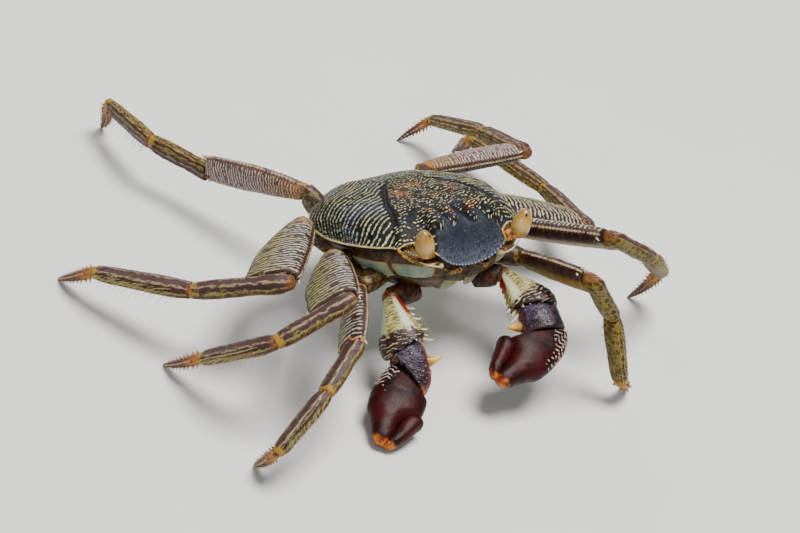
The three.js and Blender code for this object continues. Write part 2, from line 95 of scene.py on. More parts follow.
# %% [markdown]
# ## The camera first
# The camera looks down on the crab from ahead and to its right. It is placed before anything is
# made, so that every later look at the work is from the same place. Its long lens keeps the legs
# from spreading.

# %% Place the camera
camera_data = bpy.data.cameras.new("camera")
camera_data.lens, camera_data.sensor_width = 120.6, 36
camera_data.clip_start, camera_data.clip_end = 0.05, 10
camera = bpy.data.objects.new("camera", camera_data)
bpy.context.collection.objects.link(camera)
camera_right = np.array([0.5445, 0.807, 0.2285])
camera_up = -np.array([0.5777, -0.1633, -0.7998])
camera_back = -np.array([-0.6081, 0.5675, -0.5551])
camera_place = (np.array([500.3, -467.1, 472.9]) + SHIFT) * MM
camera.matrix_world = Matrix([
    [*(float(axis[i]) for axis in (camera_right, camera_up, camera_back)), float(camera_place[i])]
    for i in range(3)] + [[0, 0, 0, 1]])
bpy.context.scene.camera = camera
print("camera", round(float(np.linalg.norm(camera_place)), 3), "m from the middle of the footprint")

# %% [markdown]
# ## Frames and places
# A plate is easiest to shape lying along its own axes, and then it is carried to its place. A
# frame here is a 4 by 4 matrix from a plate's own axes to the floor's. The body's frame is
# turned up by its pitch, and a segment's frame has X along the segment and Y square to the face.

# %% Frames
def frame_of(x, y, z, origin):
    made = np.eye(4)
    made[:3, 0], made[:3, 1], made[:3, 2], made[:3, 3] = x, y, z, origin
    return made


def unit(v):
    v = np.asarray(v, float)
    return v / np.linalg.norm(v)


def frame_along(origin, direction, face):
    x = unit(direction)
    y = unit(np.asarray(face, float) - x * np.dot(face, x))
    return frame_of(x, y, np.cross(x, y), origin)


def placed(points, where):
    return points @ where[:3, :3].T + where[:3, 3]


def seen_from(points, where):
    return (points - where[:3, 3]) @ where[:3, :3]


def heading(turn, rise):
    level = math.cos(math.radians(rise))
    return np.array([level * math.cos(math.radians(turn)), level * math.sin(math.radians(turn)),
                     math.sin(math.radians(rise))])


tip_up, roll = math.radians(-BODY_PITCH), math.radians(BODY_ROLL)
pitch_turn = np.array([[math.cos(tip_up), 0, math.sin(tip_up)], [0, 1, 0],
                       [-math.sin(tip_up), 0, math.cos(tip_up)]])
roll_turn = np.array([[1, 0, 0], [0, math.cos(roll), -math.sin(roll)], [0, math.sin(roll), math.cos(roll)]])
BODY = np.eye(4)
BODY[:3, :3] = pitch_turn @ roll_turn
BODY[2, 3] = BODY_HEIGHT

# %% [markdown]
# ## Chance and roughness
# A living shell is never even. Two small tools give that: a fixed scatter, which turns whole
# numbers into a number between 0 and 1 and always the same one, and a cloud, which blends the
# scatter smoothly through space. The same seed gives the same crab every time.

# %% Scatter and cloud
def scatter(i, j, k=0):
    h = (np.asarray(i).astype(np.int64) * 73856093) ^ (np.asarray(j).astype(np.int64) * 19349663)
    h = (h ^ (np.asarray(k).astype(np.int64) * 83492791)) & 0xFFFFFFFF
    h = ((h ^ (h >> 15)) * 2246822519) & 0xFFFFFFFF
    h = ((h ^ (h >> 13)) * 3266489917) & 0xFFFFFFFF
    return (h ^ (h >> 16)) / 0xFFFFFFFF


def cloud(points, size, seed=0, layers=2):
    total = np.zeros(points.shape[:-1])
    weight = 0
    for layer in range(layers):
        p = points / (size * 0.5 ** layer) + 17.3 * layer
        cell = np.floor(p).astype(np.int64)
        f = p - cell
        f = f * f * (3 - 2 * f)
        value = 0
        for corner in range(8):
            d = np.array([corner & 1, corner >> 1 & 1, corner >> 2])
            share = np.prod(np.where(d, f, 1 - f), axis=-1)
            c = cell + d
            value = value + share * scatter(c[..., 0], c[..., 1], c[..., 2] + 101 * seed)
        total += value * 0.5 ** layer
        weight += 0.5 ** layer
    return total / weight


def step(value, low, high):
    t = np.clip((value - low) / (high - low), 0, 1)
    return t * t * (3 - 2 * t)


def hump(value, middle, width):
    return np.exp(-((value - middle) / width) ** 2)


# %% [markdown]
# ## Rows of beads
# The pale lines over this crab's back and thighs are rows of tiny flat beads, run together into
# wavy lines. A row is one step of a measure that grows across the lines, and a bead one step
# along them. Each bead is a soft hump, a little out of place, and some are missing.

# %% Beads along lines
def bead_lines(across, along, pitch, length, seed, missing=0.1, width=0.3, run_on=0.55):
    row = np.floor(across / pitch + 0.5)
    off = across / pitch - row
    along = along / length + 7.1 * scatter(row, seed, 3)
    bead = np.floor(along + 0.5)
    near = along - bead
    off = off - 0.16 * (scatter(row, bead, seed) - 0.5)
    size = 0.7 + 0.3 * scatter(row, bead, seed + 9)
    there = scatter(row, bead, seed + 21) > missing
    return there * size * np.exp(-(off / width) ** 2) * np.exp(-(near / run_on) ** 4)


# %% [markdown]
# ## A plate as a fine mesh
# The limbs are lofts: ovals threaded on a line, big where the limb is thick. A few rows of
# measures are enough, because the ovals between them are blended along smooth curves. The two
# ends are cut on a slant, so each segment meets the next as a mitre does, and the edge of each
# cut is rounded over. The same surface could be cut from a solid with booleans, but a loft keeps
# even faces, which the fine ridges need.

# %% Loft a limb
def blended(rows, x):
    at, values = rows[:, 0], rows[:, 1:]
    slope = np.gradient(values, at, axis=0)
    x = np.clip(x, at[0], at[-1])
    i = np.clip(np.searchsorted(at, x) - 1, 0, len(at) - 2)
    h = (at[i + 1] - at[i])[..., None]
    u = ((x - at[i]) / (at[i + 1] - at[i]))[..., None]
    a, b = values[i], values[i + 1]
    return (a * (1 + 2 * u) * (1 - u) ** 2 + slope[i] * h * u * (1 - u) ** 2
            + b * u * u * (3 - 2 * u) - slope[i + 1] * h * u * u * (1 - u))


def oval(size, angle, power, keel):
    c, s = np.cos(angle), np.sin(angle)
    outer, inner, half, shift = np.moveaxis(size, -1, 0)
    y = half * np.sign(c) * np.abs(c) ** (2 / power * keel)
    z = np.where(s > 0, outer, inner) * np.sign(s) * np.abs(s) ** (2 / power) + shift
    return y, z


def loft(rows, steps, around, start=None, end=None, power=2.3, keel=1.0, rounding=0.7):
    """Grid of points on a limb's own axes. start and end are cutting planes (point, normal)."""
    rows = np.array([list(r) + [0] * (5 - len(r)) for r in rows], float)
    angle = 2 * np.pi * (np.arange(around) + 0.5) / around
    limits = []
    for plane, first in ((start, rows[0, 0]), (end, rows[-1, 0])):
        x = np.full(around, first)
        if plane is not None and abs(plane[1][0]) > 0.2:
            point, normal = plane
            x = np.full(around, float(np.clip(point[0], rows[0, 0], rows[-1, 0])))
            for _ in range(12):
                y, z = oval(blended(rows, x), angle, power, keel)
                x = 0.5 * x + 0.5 * (np.dot(normal, point) - normal[1] * y - normal[2] * z) / normal[0]
                x = np.clip(x, rows[0, 0], rows[-1, 0])
        limits.append(x)
    t = (1 - np.cos(np.pi * np.linspace(0, 1, steps))) / 2
    t = (0.25 * t + 0.75 * np.linspace(0, 1, steps))[:, None]
    x = limits[0] + t * (limits[1] - limits[0])
    size = blended(rows, x)
    for edge, near in ((limits[0], x - limits[0]), (limits[1], limits[1] - x)):
        inside = np.clip(near / rounding, 0, 1)
        less = rounding * (1 - np.sqrt(1 - (1 - inside) ** 2))
        size[..., :3] = np.maximum(size[..., :3] - less[..., None], 0.3 * size[..., :3])
    y, z = oval(size, angle, power, keel)
    long = rows[-1, 0] - rows[0, 0]
    across = (z - size[..., 3]) / np.where(z > size[..., 3], size[..., 0], size[..., 1])
    run = np.stack([(x - rows[0, 0]) / long, across, y / np.maximum(size[..., 2], 1e-6)], -1)
    grid = np.stack([x, y, z], -1)
    if start is not None and abs(start[1][0]) <= 0.2:  # the plane runs along the limb and shaves its side
        grid = grid + start[1] * np.maximum((start[0] - grid) @ start[1], 0)[..., None]
    return grid, run


def grid_normals(grid):
    """Outward normals of a grid that closes on itself around its second axis."""
    along = np.gradient(grid, axis=0)
    around = np.roll(grid, -1, 1) - np.roll(grid, 1, 1)
    n = np.cross(around, along)
    return n / np.maximum(np.linalg.norm(n, axis=-1, keepdims=True), 1e-9)


# %% Turn a grid into a piece
def grid_faces(rows, around, first=0):
    i = np.arange(rows - 1)[:, None] * around
    j = np.arange(around)[None, :]
    k = (j + 1) % around
    return first + np.stack([i + j, i + k, i + k + around, i + j + around], -1).reshape(-1, 4)


def close_ends(points, faces, rows, around):
    """Adds a middle point and a fan at each end of a grid."""
    fans = []
    for first, flip in ((0, True), ((rows - 1) * around, False)):
        hub = len(points)
        points = np.vstack([points, points[first:first + around].mean(0)])
        a = first + np.arange(around)
        b = first + (np.arange(around) + 1) % around
        fans += [(hub, q, p) if flip else (hub, p, q) for p, q in zip(a.tolist(), b.tolist())]
    return points, faces.tolist() + fans


def make_piece(name, points, faces, finish, marks=None, replaces=(), smooth=True):
    """A mesh object in metres from points in millimetres on the floor's axes."""
    at = points + SHIFT
    at[:, 2] = np.maximum(at[:, 2], 0.0)
    mesh = bpy.data.meshes.new(name)
    mesh.from_pydata((at * MM).tolist(), [], faces)
    mesh.polygons.foreach_set("use_smooth", [smooth] * len(mesh.polygons))
    for label, values in (marks or {}).items():
        values = np.asarray(values, np.float32)
        kind, field = ("FLOAT", "value") if values.ndim == 1 else ("FLOAT_VECTOR", "vector")
        mesh.attributes.new(label, kind, "POINT").data.foreach_set(field, values.ravel())
    mesh.materials.append(finish)
    mesh.update()
    piece = bpy.data.objects.new(name, mesh)
    bpy.context.collection.objects.link(piece)
    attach(piece, "root")
    if replaces:
        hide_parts(*replaces)
    return piece


def with_ends(values, grid_shape):
    """Marks of a grid, with the mean of each end ring for the two fan middles."""
    flat = values.reshape(grid_shape[0] * grid_shape[1], *values.shape[2:])
    return np.concatenate([flat, values[:1].mean(1), values[-1:].mean(1)])


def limb_piece(name, where, grid, run, relief, finish, marks=None, node=None):
    """One limb plate: the grid is raised by its relief, closed, and carried to its place."""
    raised = grid + grid_normals(grid) * relief[..., None]
    rows, around = grid.shape[:2]
    points, faces = close_ends(raised.reshape(-1, 3), grid_faces(rows, around), rows, around)
    every = {"place": with_ends(grid, grid.shape), "run": with_ends(run, grid.shape)}
    for label, values in (marks or {}).items():
        every[label] = with_ends(values, grid.shape)
    return make_piece(name, placed(points, where), faces, finish, every, [node or name])

# %% [markdown]
# ## Paint
# A finish is a small web of nodes. Each plate carries marks that say where a point lies on it:
# place, in millimetres on the plate's own axes; run, how far along, across and through; and
# crest, how high its beads stand. The finish reads these marks, so the colour sits on the relief
# as it does on the animal, and it adds noise at finer sizes for the rest.

# %% A painter's board
class Finish:
    def __init__(self, name):
        self.material = bpy.data.materials.new(name)
        self.material.use_nodes = True
        self.tree = self.material.node_tree
        self.tree.nodes.clear()

    def add(self, kind, **values):
        node = self.tree.nodes.new("ShaderNode" + kind)
        for label, value in values.items():
            if hasattr(node, label):
                setattr(node, label, value)
        return node

    def feed(self, socket, value):
        if isinstance(value, bpy.types.NodeSocket):
            self.tree.links.new(value, socket)
        elif isinstance(value, (tuple, list)) and len(value) == 3 and socket.type == "RGBA":
            socket.default_value = (*value, 1)
        else:
            socket.default_value = value

    def mark(self, label, part=None):
        node = self.add("Attribute", attribute_name=label)
        if part is None:
            return node.outputs["Vector"]
        if part == "value":
            return node.outputs["Fac"]
        split = self.add("SeparateXYZ")
        self.feed(split.inputs[0], node.outputs["Vector"])
        return split.outputs[part]

    def sum(self, kind, a, b=0.0, c=None, clamp=False):
        node = self.add("Math", operation=kind, use_clamp=clamp)
        self.feed(node.inputs[0], a)
        self.feed(node.inputs[1], b)
        if c is not None:
            self.feed(node.inputs[2], c)
        return node.outputs[0]

    def stretch(self, vector, scale):
        node = self.add("Mapping")
        self.feed(node.inputs["Vector"], vector)
        node.inputs["Scale"].default_value = scale
        return node.outputs[0]

    def noise(self, vector, size, detail=3.0, rough=0.55, twist=0.0):
        node = self.add("TexNoise")
        self.feed(node.inputs["Vector"], vector)
        for label, value in (("Scale", 1 / size), ("Detail", detail), ("Roughness", rough),
                             ("Distortion", twist)):
            node.inputs[label].default_value = value
        return node.outputs["Fac"]

    def cells(self, vector, size, chance=1.0, feature="F1"):
        node = self.add("TexVoronoi", feature=feature)
        self.feed(node.inputs["Vector"], vector)
        node.inputs["Scale"].default_value = 1 / size
        node.inputs["Randomness"].default_value = chance
        return node.outputs["Distance"]

    def from_to(self, value, low, high, a=0.0, b=1.0):
        node = self.add("MapRange", interpolation_type="SMOOTHSTEP")
        for i, v in enumerate((value, low, high, a, b)):
            self.feed(node.inputs[i], v)
        return node.outputs[0]

    def mix(self, share, a, b, kind="MIX"):
        node = self.add("Mix", data_type="RGBA", blend_type=kind)
        self.feed(node.inputs[0], share)
        self.feed(node.inputs[6], a)
        self.feed(node.inputs[7], b)
        return node.outputs[2]

    def bands(self, value, stops):
        node = self.add("ValToRGB")
        ramp = node.color_ramp
        while len(ramp.elements) < len(stops):
            ramp.elements.new(0.5)
        for element, (at, colour) in zip(ramp.elements, stops):
            element.position = at
            element.color = (*colour, 1)
        self.feed(node.inputs[0], value)
        return node.outputs[0]

    def shell(self, colour, rough, height, depth, coat=0.1, specular=0.32, coat_rough=0.2):
        """Closes the web: colour and rough may be nodes, height is raised by depth in millimetres."""
        shader = self.add("BsdfPrincipled")
        self.feed(shader.inputs["Base Color"], colour)
        self.feed(shader.inputs["Roughness"], rough)
        shader.inputs["Coat Weight"].default_value = coat
        shader.inputs["Coat Roughness"].default_value = coat_rough
        shader.inputs["Specular IOR Level"].default_value = specular
        bump = self.add("Bump")
        bump.inputs["Distance"].default_value = depth * MM
        bump.inputs["Strength"].default_value = 1.0
        self.feed(bump.inputs["Height"], height)
        self.feed(shader.inputs["Normal"], bump.outputs[0])
        out = self.add("OutputMaterial")
        self.feed(out.inputs["Surface"], shader.outputs[0])
        return self.material


# The crab's own colours, as light reflected in red, green and blue.
INK = (0.004, 0.006, 0.006)
BOTTLE = (0.009, 0.014, 0.010)
CREAM = (0.60, 0.53, 0.32)
PALE_SEA = (0.42, 0.50, 0.38)
VIOLET = (0.024, 0.020, 0.052)
SLATE = (0.012, 0.016, 0.025)
LILAC = (0.34, 0.32, 0.50)
PLUM = (0.045, 0.012, 0.018)
UMBER = (0.060, 0.022, 0.007)
OLIVE = (0.14, 0.105, 0.018)
GOLD = (0.42, 0.22, 0.02)
ORANGE = (0.62, 0.22, 0.015)
SEA_GREEN = (0.25, 0.42, 0.34)

# %% [markdown]
# ## The back's finish
# The back is almost black green, with violet and brown clouds, and its bead lines are cream,
# turning to pale sea green over the gills. The plate between the eyes is smooth slate, with
# faint pits, and its lower edge is pale violet. Its lower part carries a painted bluish sheen,
# a painted reflection of the sky. The edge of the shell is a thin cream line.

# %% Finish of the back
def back_finish():
    f = Finish("back_shell")
    place = f.mark("place")
    crest = f.mark("crest", "value")
    plate, gill, edge = (f.mark("zone", axis) for axis in "XYZ")
    spot = f.mark("spot", "value")
    wide = f.noise(place, 7.0, 2.0)
    mid = f.noise(place, 2.2, 4.0, 0.6)
    fine = f.noise(place, 0.5, 3.0, 0.7)
    ground = f.mix(f.from_to(mid, 0.42, 0.62), INK, BOTTLE)
    ground = f.mix(f.from_to(wide, 0.52, 0.68, 0.0, 0.5), ground, VIOLET)
    ground = f.mix(f.from_to(f.noise(place, 1.3, 4.0, 0.6, 0.4), 0.56, 0.7, 0.0, 0.85), ground, UMBER)
    pale = f.mix(f.sum("MULTIPLY", gill, f.from_to(wide, 0.35, 0.6)), CREAM, PALE_SEA)
    pale = f.mix(f.from_to(mid, 0.4, 0.62, 0.0, 0.75), pale, (0.20, 0.165, 0.07))
    pale = f.mix(f.from_to(fine, 0.4, 0.7, 0.0, 0.6), pale, (0.10, 0.085, 0.04))
    lit = f.sum("ADD", crest, f.sum("MULTIPLY", f.sum("SUBTRACT", fine, 0.5), 0.5))
    fleck = f.sum("MULTIPLY", spot, f.from_to(f.noise(place, 1.1, 3.0, 0.6), 0.42, 0.6))
    ground = f.mix(fleck, ground, (0.12, 0.030, 0.006))
    pale = f.mix(fleck, pale, ORANGE)
    colour = f.mix(f.from_to(lit, 0.42, 0.66), ground, pale)
    slate = f.mix(f.from_to(f.noise(place, 3.2, 4.0, 0.6), 0.35, 0.65), SLATE, (0.020, 0.027, 0.034))
    slate = f.mix(f.from_to(f.cells(place, 0.9), 0.06, 0.24, 0.85, 0.0), slate, (0.004, 0.006, 0.01))
    slate = f.mix(f.from_to(f.noise(place, 0.6, 3.0, 0.6), 0.58, 0.7, 0.0, 0.4), slate, (0.12, 0.13, 0.17))
    # On the front plate the spot mark holds the painted sheen of the plate's lower part: it makes the grit paler and
    # mixes in a pale bluish colour, a painted reflection of the sky.
    grit = f.sum("ADD", f.noise(place, 0.75, 5.0, 0.75, 0.6), f.sum("MULTIPLY", spot, 0.1))
    slate = f.mix(f.from_to(grit, 0.57, 0.7, 0.0, 0.6), slate, (0.11, 0.12, 0.15))
    bluish_cloud = f.sum("MULTIPLY", spot, f.from_to(f.noise(place, 0.9, 4.0, 0.65, 0.3), 0.4, 0.62, 0.0, 0.6))
    slate = f.mix(bluish_cloud, slate, (0.095, 0.10, 0.14))
    slate = f.mix(f.sum("MULTIPLY", f.from_to(edge, 0.3, 0.9), f.from_to(crest, 0.35, 0.75, 0.1, 1.0)), slate, LILAC)
    colour = f.mix(plate, colour, slate)
    rim = f.sum("MULTIPLY", f.from_to(edge, 0.55, 0.9), f.sum("SUBTRACT", 1.0, plate))
    colour = f.mix(rim, colour, f.mix(f.from_to(mid, 0.4, 0.6), (0.55, 0.44, 0.22), (0.34, 0.22, 0.08)))
    height = f.sum("ADD", f.sum("MULTIPLY", fine, 0.5), f.sum("MULTIPLY", f.cells(place, 0.35), 0.5))
    rough = f.from_to(fine, 0.3, 0.7, 0.46, 0.7)
    return f.shell(colour, rough, height, 0.1, coat=0.02, specular=0.13)


# %% [markdown]
# ## The thigh's finish
# The broad face of each thigh that looks up and back is plum brown, crossed by short wavy pale
# lines. The face that looks down is bare and golden olive. An orange cloud marks the knee, and
# both edges are pale. One finish does for all eight, because it reads how far through the limb
# a point lies to know which face it is on.

# %% Finish of the thighs
def thigh_finish():
    f = Finish("thigh_shell")
    place = f.mark("place")
    along, across, through = (f.mark("run", axis) for axis in "XYZ")
    crest = f.mark("crest", "value")
    mid = f.noise(place, 2.5, 4.0, 0.6)
    fine = f.noise(place, 0.5, 3.0, 0.7)
    wide = f.noise(place, 8.0, 2.0)
    upper = f.mix(f.from_to(mid, 0.38, 0.6), (0.018, 0.008, 0.009), (0.040, 0.015, 0.008))
    toward_edge = f.from_to(f.sum("ADD", across, f.sum("MULTIPLY", wide, 0.8)), 0.7, -0.3, 0.0, 0.9)
    upper = f.mix(toward_edge, upper, (0.045, 0.034, 0.010))
    pale = f.mix(f.from_to(wide, 0.4, 0.6), (0.46, 0.41, 0.26), (0.42, 0.40, 0.36))
    pale = f.mix(toward_edge, pale, (0.38, 0.34, 0.14))
    pale = f.mix(f.from_to(fine, 0.45, 0.7, 0.0, 0.5), pale, (0.14, 0.10, 0.06))
    lit = f.sum("ADD", crest, f.sum("MULTIPLY", f.sum("SUBTRACT", fine, 0.5), 0.5))
    hind = f.mark("spot", "value")
    upper = f.mix(hind, upper, f.mix(f.from_to(mid, 0.4, 0.6), (0.075, 0.038, 0.032), (0.12, 0.07, 0.055)))
    pale = f.mix(hind, pale, f.mix(f.from_to(along, 0.5, 0.15), (0.44, 0.36, 0.34), (0.48, 0.28, 0.10)))
    upper = f.mix(f.from_to(lit, 0.34, 0.56), upper, pale)
    band = f.noise(f.stretch(place, (1.0, 0.15, 0.15)), 1.4, 2.0)
    under = f.mix(f.from_to(mid, 0.35, 0.7), (0.13, 0.085, 0.01), (0.26, 0.13, 0.008))
    under = f.mix(f.from_to(f.noise(place, 1.0, 3.0, 0.7), 0.56, 0.72, 0.0, 0.75), under, (0.05, 0.02, 0.005))
    dusk = f.mix(f.from_to(band, 0.35, 0.65), (0.020, 0.004, 0.006), (0.055, 0.015, 0.008))
    turn = f.sum("ADD", across, f.sum("MULTIPLY", f.sum("SUBTRACT", mid, 0.5), 0.9))
    side = f.mix(f.from_to(f.sum("ADD", turn, f.sum("MULTIPLY", through, 0.25)), -0.12, 0.34), under, dusk)
    upper_share = f.from_to(f.sum("ADD", through, f.sum("MULTIPLY", across, -0.35)), -0.05, 0.3)
    colour = f.mix(upper_share, side, upper)
    edge_line = f.from_to(f.sum("ABSOLUTE", across), 0.985, 0.998, 0.0, 0.85)
    colour = f.mix(f.sum("MULTIPLY", edge_line, f.from_to(mid, 0.38, 0.5)), colour, (0.36, 0.27, 0.16))
    knee = f.sum("MULTIPLY", f.from_to(along, 0.92, 0.97), f.from_to(mid, 0.42, 0.56))
    colour = f.mix(knee, colour, (0.50, 0.14, 0.035))
    hip = f.sum("MULTIPLY", f.from_to(along, 0.2, 0.05), f.from_to(mid, 0.35, 0.6))
    colour = f.mix(hip, colour, (0.30, 0.13, 0.015))
    patch = f.sum("MULTIPLY", f.from_to(along, 0.82, 0.92), f.from_to(f.noise(place, 1.7, 3.0), 0.55, 0.68))
    colour = f.mix(f.sum("MULTIPLY", patch, f.from_to(through, 0.3, -0.2)), colour, (0.20, 0.32, 0.20))
    height = f.sum("ADD", f.sum("MULTIPLY", fine, 0.6), f.sum("MULTIPLY", mid, 0.4))
    return f.shell(colour, f.from_to(fine, 0.3, 0.7, 0.4, 0.62), height, 0.08, coat=0.05)


# %% [markdown]
# ## The shin's finish
# The two shin segments are striped lengthwise on their upper face, plum and cream and olive,
# with an orange lower edge. The under face is olive yellow with brown blotches. A dark line and
# a yellow band mark the end of the second. The toe starts golden and darkens to red brown.

# %% Finish of the shins and toes
def shin_finish():
    f = Finish("shin_shell")
    place = f.mark("place")
    along, across, through = (f.mark("run", axis) for axis in "XYZ")
    mid = f.noise(f.stretch(place, (0.35, 1, 1)), 1.4, 4.0, 0.6)
    fine = f.noise(place, 0.45, 3.0, 0.7)
    blot = f.noise(place, 2.1, 3.0, 0.6, 0.5)
    warm = f.mark("spot", "value")
    turn = f.sum("DIVIDE", f.sum("ARCTAN2", through, across), math.pi)
    turn = f.sum("ADD", turn, f.sum("MULTIPLY", f.sum("SUBTRACT", mid, 0.5), 0.32))
    stripes = f.bands(f.sum("MULTIPLY_ADD", turn, 0.5, 0.5), [
        (0.0, (0.10, 0.07, 0.012)), (0.27, (0.15, 0.10, 0.012)), (0.3, (0.33, 0.14, 0.008)),
        (0.37, (0.27, 0.085, 0.006)), (0.39, (0.035, 0.010, 0.009)), (0.44, (0.060, 0.022, 0.022)),
        (0.46, (0.16, 0.13, 0.022)), (0.51, (0.28, 0.23, 0.07)), (0.53, (0.03, 0.010, 0.010)),
        (0.6, (0.065, 0.024, 0.032)), (0.615, (0.32, 0.26, 0.13)), (0.635, (0.24, 0.18, 0.10)),
        (0.655, (0.04, 0.014, 0.016)), (0.75, (0.065, 0.026, 0.030)), (0.765, (0.26, 0.20, 0.14)),
        (0.785, (0.05, 0.018, 0.016)), (0.83, (0.07, 0.028, 0.018)), (0.845, (0.21, 0.165, 0.045)),
        (0.875, (0.16, 0.12, 0.03)), (0.89, (0.035, 0.013, 0.008)), (0.93, (0.075, 0.032, 0.014)),
        (0.945, (0.26, 0.20, 0.08)), (0.965, (0.20, 0.14, 0.05)), (0.98, (0.03, 0.011, 0.007)),
        (1.0, (0.06, 0.03, 0.012))])
    flaw = f.noise(f.stretch(place, (0.5, 1, 1)), 1.0, 4.0, 0.65, 0.4)
    stripes = f.mix(f.from_to(flaw, 0.49, 0.6, 0.0, 0.85), stripes, (0.045, 0.017, 0.013))
    leaf = f.sum("MULTIPLY", f.from_to(blot, 0.58, 0.66, 0.0, 0.75), f.from_to(along, 0.3, 0.75))
    stripes = f.mix(leaf, stripes, (0.16, 0.15, 0.032))
    under = f.mix(f.from_to(blot, 0.44, 0.58), (0.20, 0.15, 0.020), (0.10, 0.062, 0.012))
    under = f.mix(f.from_to(f.noise(place, 1.1, 3.0, 0.6, 0.6), 0.5, 0.6), under, (0.04, 0.018, 0.004))
    face = f.sum("ADD", turn, f.sum("MULTIPLY", warm, 0.55))
    colour = f.mix(f.from_to(face, 0.06, 0.0), stripes, under)
    end = f.sum("ADD", along, f.sum("MULTIPLY", f.sum("SUBTRACT", blot, 0.5), 0.3))
    colour = f.mix(f.from_to(end, 0.9, 0.95, 0.0, 0.85), colour, (0.34, 0.19, 0.02))
    line = f.from_to(f.sum("ABSOLUTE", f.sum("SUBTRACT", end, 0.88)), 0.02, 0.006, 0.0, 0.8)
    colour = f.mix(f.sum("MULTIPLY", line, f.from_to(mid, 0.4, 0.55)), colour, (0.02, 0.006, 0.006))
    cap = f.sum("MULTIPLY", f.from_to(along, 0.07, 0.01), f.from_to(mid, 0.42, 0.56, 0.25, 0.8))
    colour = f.mix(cap, colour, (0.17, 0.055, 0.012))
    height = f.sum("ADD", f.sum("MULTIPLY", fine, 0.5), f.sum("MULTIPLY", mid, 0.5))
    return f.shell(colour, f.from_to(fine, 0.3, 0.7, 0.4, 0.6), height, 0.1, coat=0.03, specular=0.2)


def toe_finish():
    f = Finish("toe_shell")
    place = f.mark("place")
    along = f.mark("run", "X")
    fine = f.noise(place, 0.4, 3.0, 0.7)
    blot = f.noise(place, 1.6, 3.0, 0.6, 0.5)
    at = f.sum("ADD", along, f.sum("MULTIPLY", f.sum("SUBTRACT", blot, 0.5), 0.35))
    colour = f.bands(at, [(0.0, (0.36, 0.16, 0.012)), (0.25, (0.30, 0.09, 0.008)), (0.45, (0.09, 0.018, 0.008)),
                          (0.85, (0.045, 0.011, 0.007)), (0.97, (0.16, 0.08, 0.04))])
    colour = f.mix(f.from_to(blot, 0.54, 0.66, 0.0, 0.8), colour, (0.03, 0.007, 0.004))
    return f.shell(colour, f.from_to(fine, 0.3, 0.7, 0.3, 0.5), fine, 0.08, coat=0.08)


# %% [markdown]
# ## The claws' finishes
# The arm runs from red at the body through a cream ridge and straw to a black band dotted with
# cream. The wrist is violet black with pale grains and a red edge. The hand is deep maroon and
# glossy, with cream zigzags near the wrist and orange tips.

# %% Finishes of the claws
def arm_finish():
    f = Finish("arm_shell")
    place = f.mark("place")
    along, across, through = (f.mark("run", axis) for axis in "XYZ")
    crest = f.mark("crest", "value")
    mid = f.noise(place, 1.8, 4.0, 0.6)
    fine = f.noise(place, 0.45, 3.0, 0.7)
    comb = f.noise(f.stretch(place, (1.0, 1.0, 0.16)), 0.55, 2.0, 0.6)
    face = f.mix(f.from_to(mid, 0.36, 0.62), (0.40, 0.30, 0.07), (0.44, 0.42, 0.20))
    face = f.mix(f.from_to(comb, 0.5, 0.57, 0.0, 0.85), face, (0.06, 0.045, 0.008))
    face = f.mix(f.from_to(f.sum("ADD", across, f.sum("MULTIPLY", mid, 0.4)), -0.25, -0.75), face, (0.26, 0.38, 0.27))
    ridge = f.sum("ABSOLUTE", f.sum("SUBTRACT", across, f.sum("ADD", 0.28, f.sum("MULTIPLY", along, 0.42))))
    face = f.mix(f.from_to(ridge, 0.34, 0.08), face, (0.60, 0.58, 0.40))
    at_edge = f.sum("SUBTRACT", across, f.sum("MULTIPLY", along, 0.9))
    at_edge = f.sum("MULTIPLY", f.from_to(at_edge, 0.34, 0.46), f.from_to(along, 0.44, 0.34))
    face = f.mix(at_edge, face, f.mix(f.from_to(mid, 0.4, 0.6), (0.16, 0.005, 0.005),
                                                             (0.30, 0.02, 0.006)))
    face = f.mix(f.from_to(f.sum("ADD", along, f.sum("MULTIPLY", mid, 0.1)), 0.2, 0.1), face, (0.22, 0.016, 0.008))
    at = f.sum("ADD", along, f.sum("MULTIPLY", f.sum("SUBTRACT", mid, 0.5), 0.34))
    night = f.mix(f.from_to(mid, 0.4, 0.6), (0.006, 0.003, 0.005), (0.035, 0.010, 0.013))
    night = f.mix(f.from_to(crest, 0.34, 0.6), night, f.mix(f.from_to(fine, 0.4, 0.6), (0.46, 0.40, 0.25),
                                                            (0.20, 0.14, 0.06)))
    colour = f.mix(f.from_to(at, 0.58, 0.64), face, night)
    below = f.mix(f.from_to(mid, 0.4, 0.6), (0.34, 0.34, 0.18), (0.22, 0.34, 0.27))
    colour = f.mix(f.from_to(through, -0.15, -0.5), colour, below)
    return f.shell(colour, f.from_to(fine, 0.3, 0.7, 0.34, 0.54), fine, 0.1, coat=0.08)


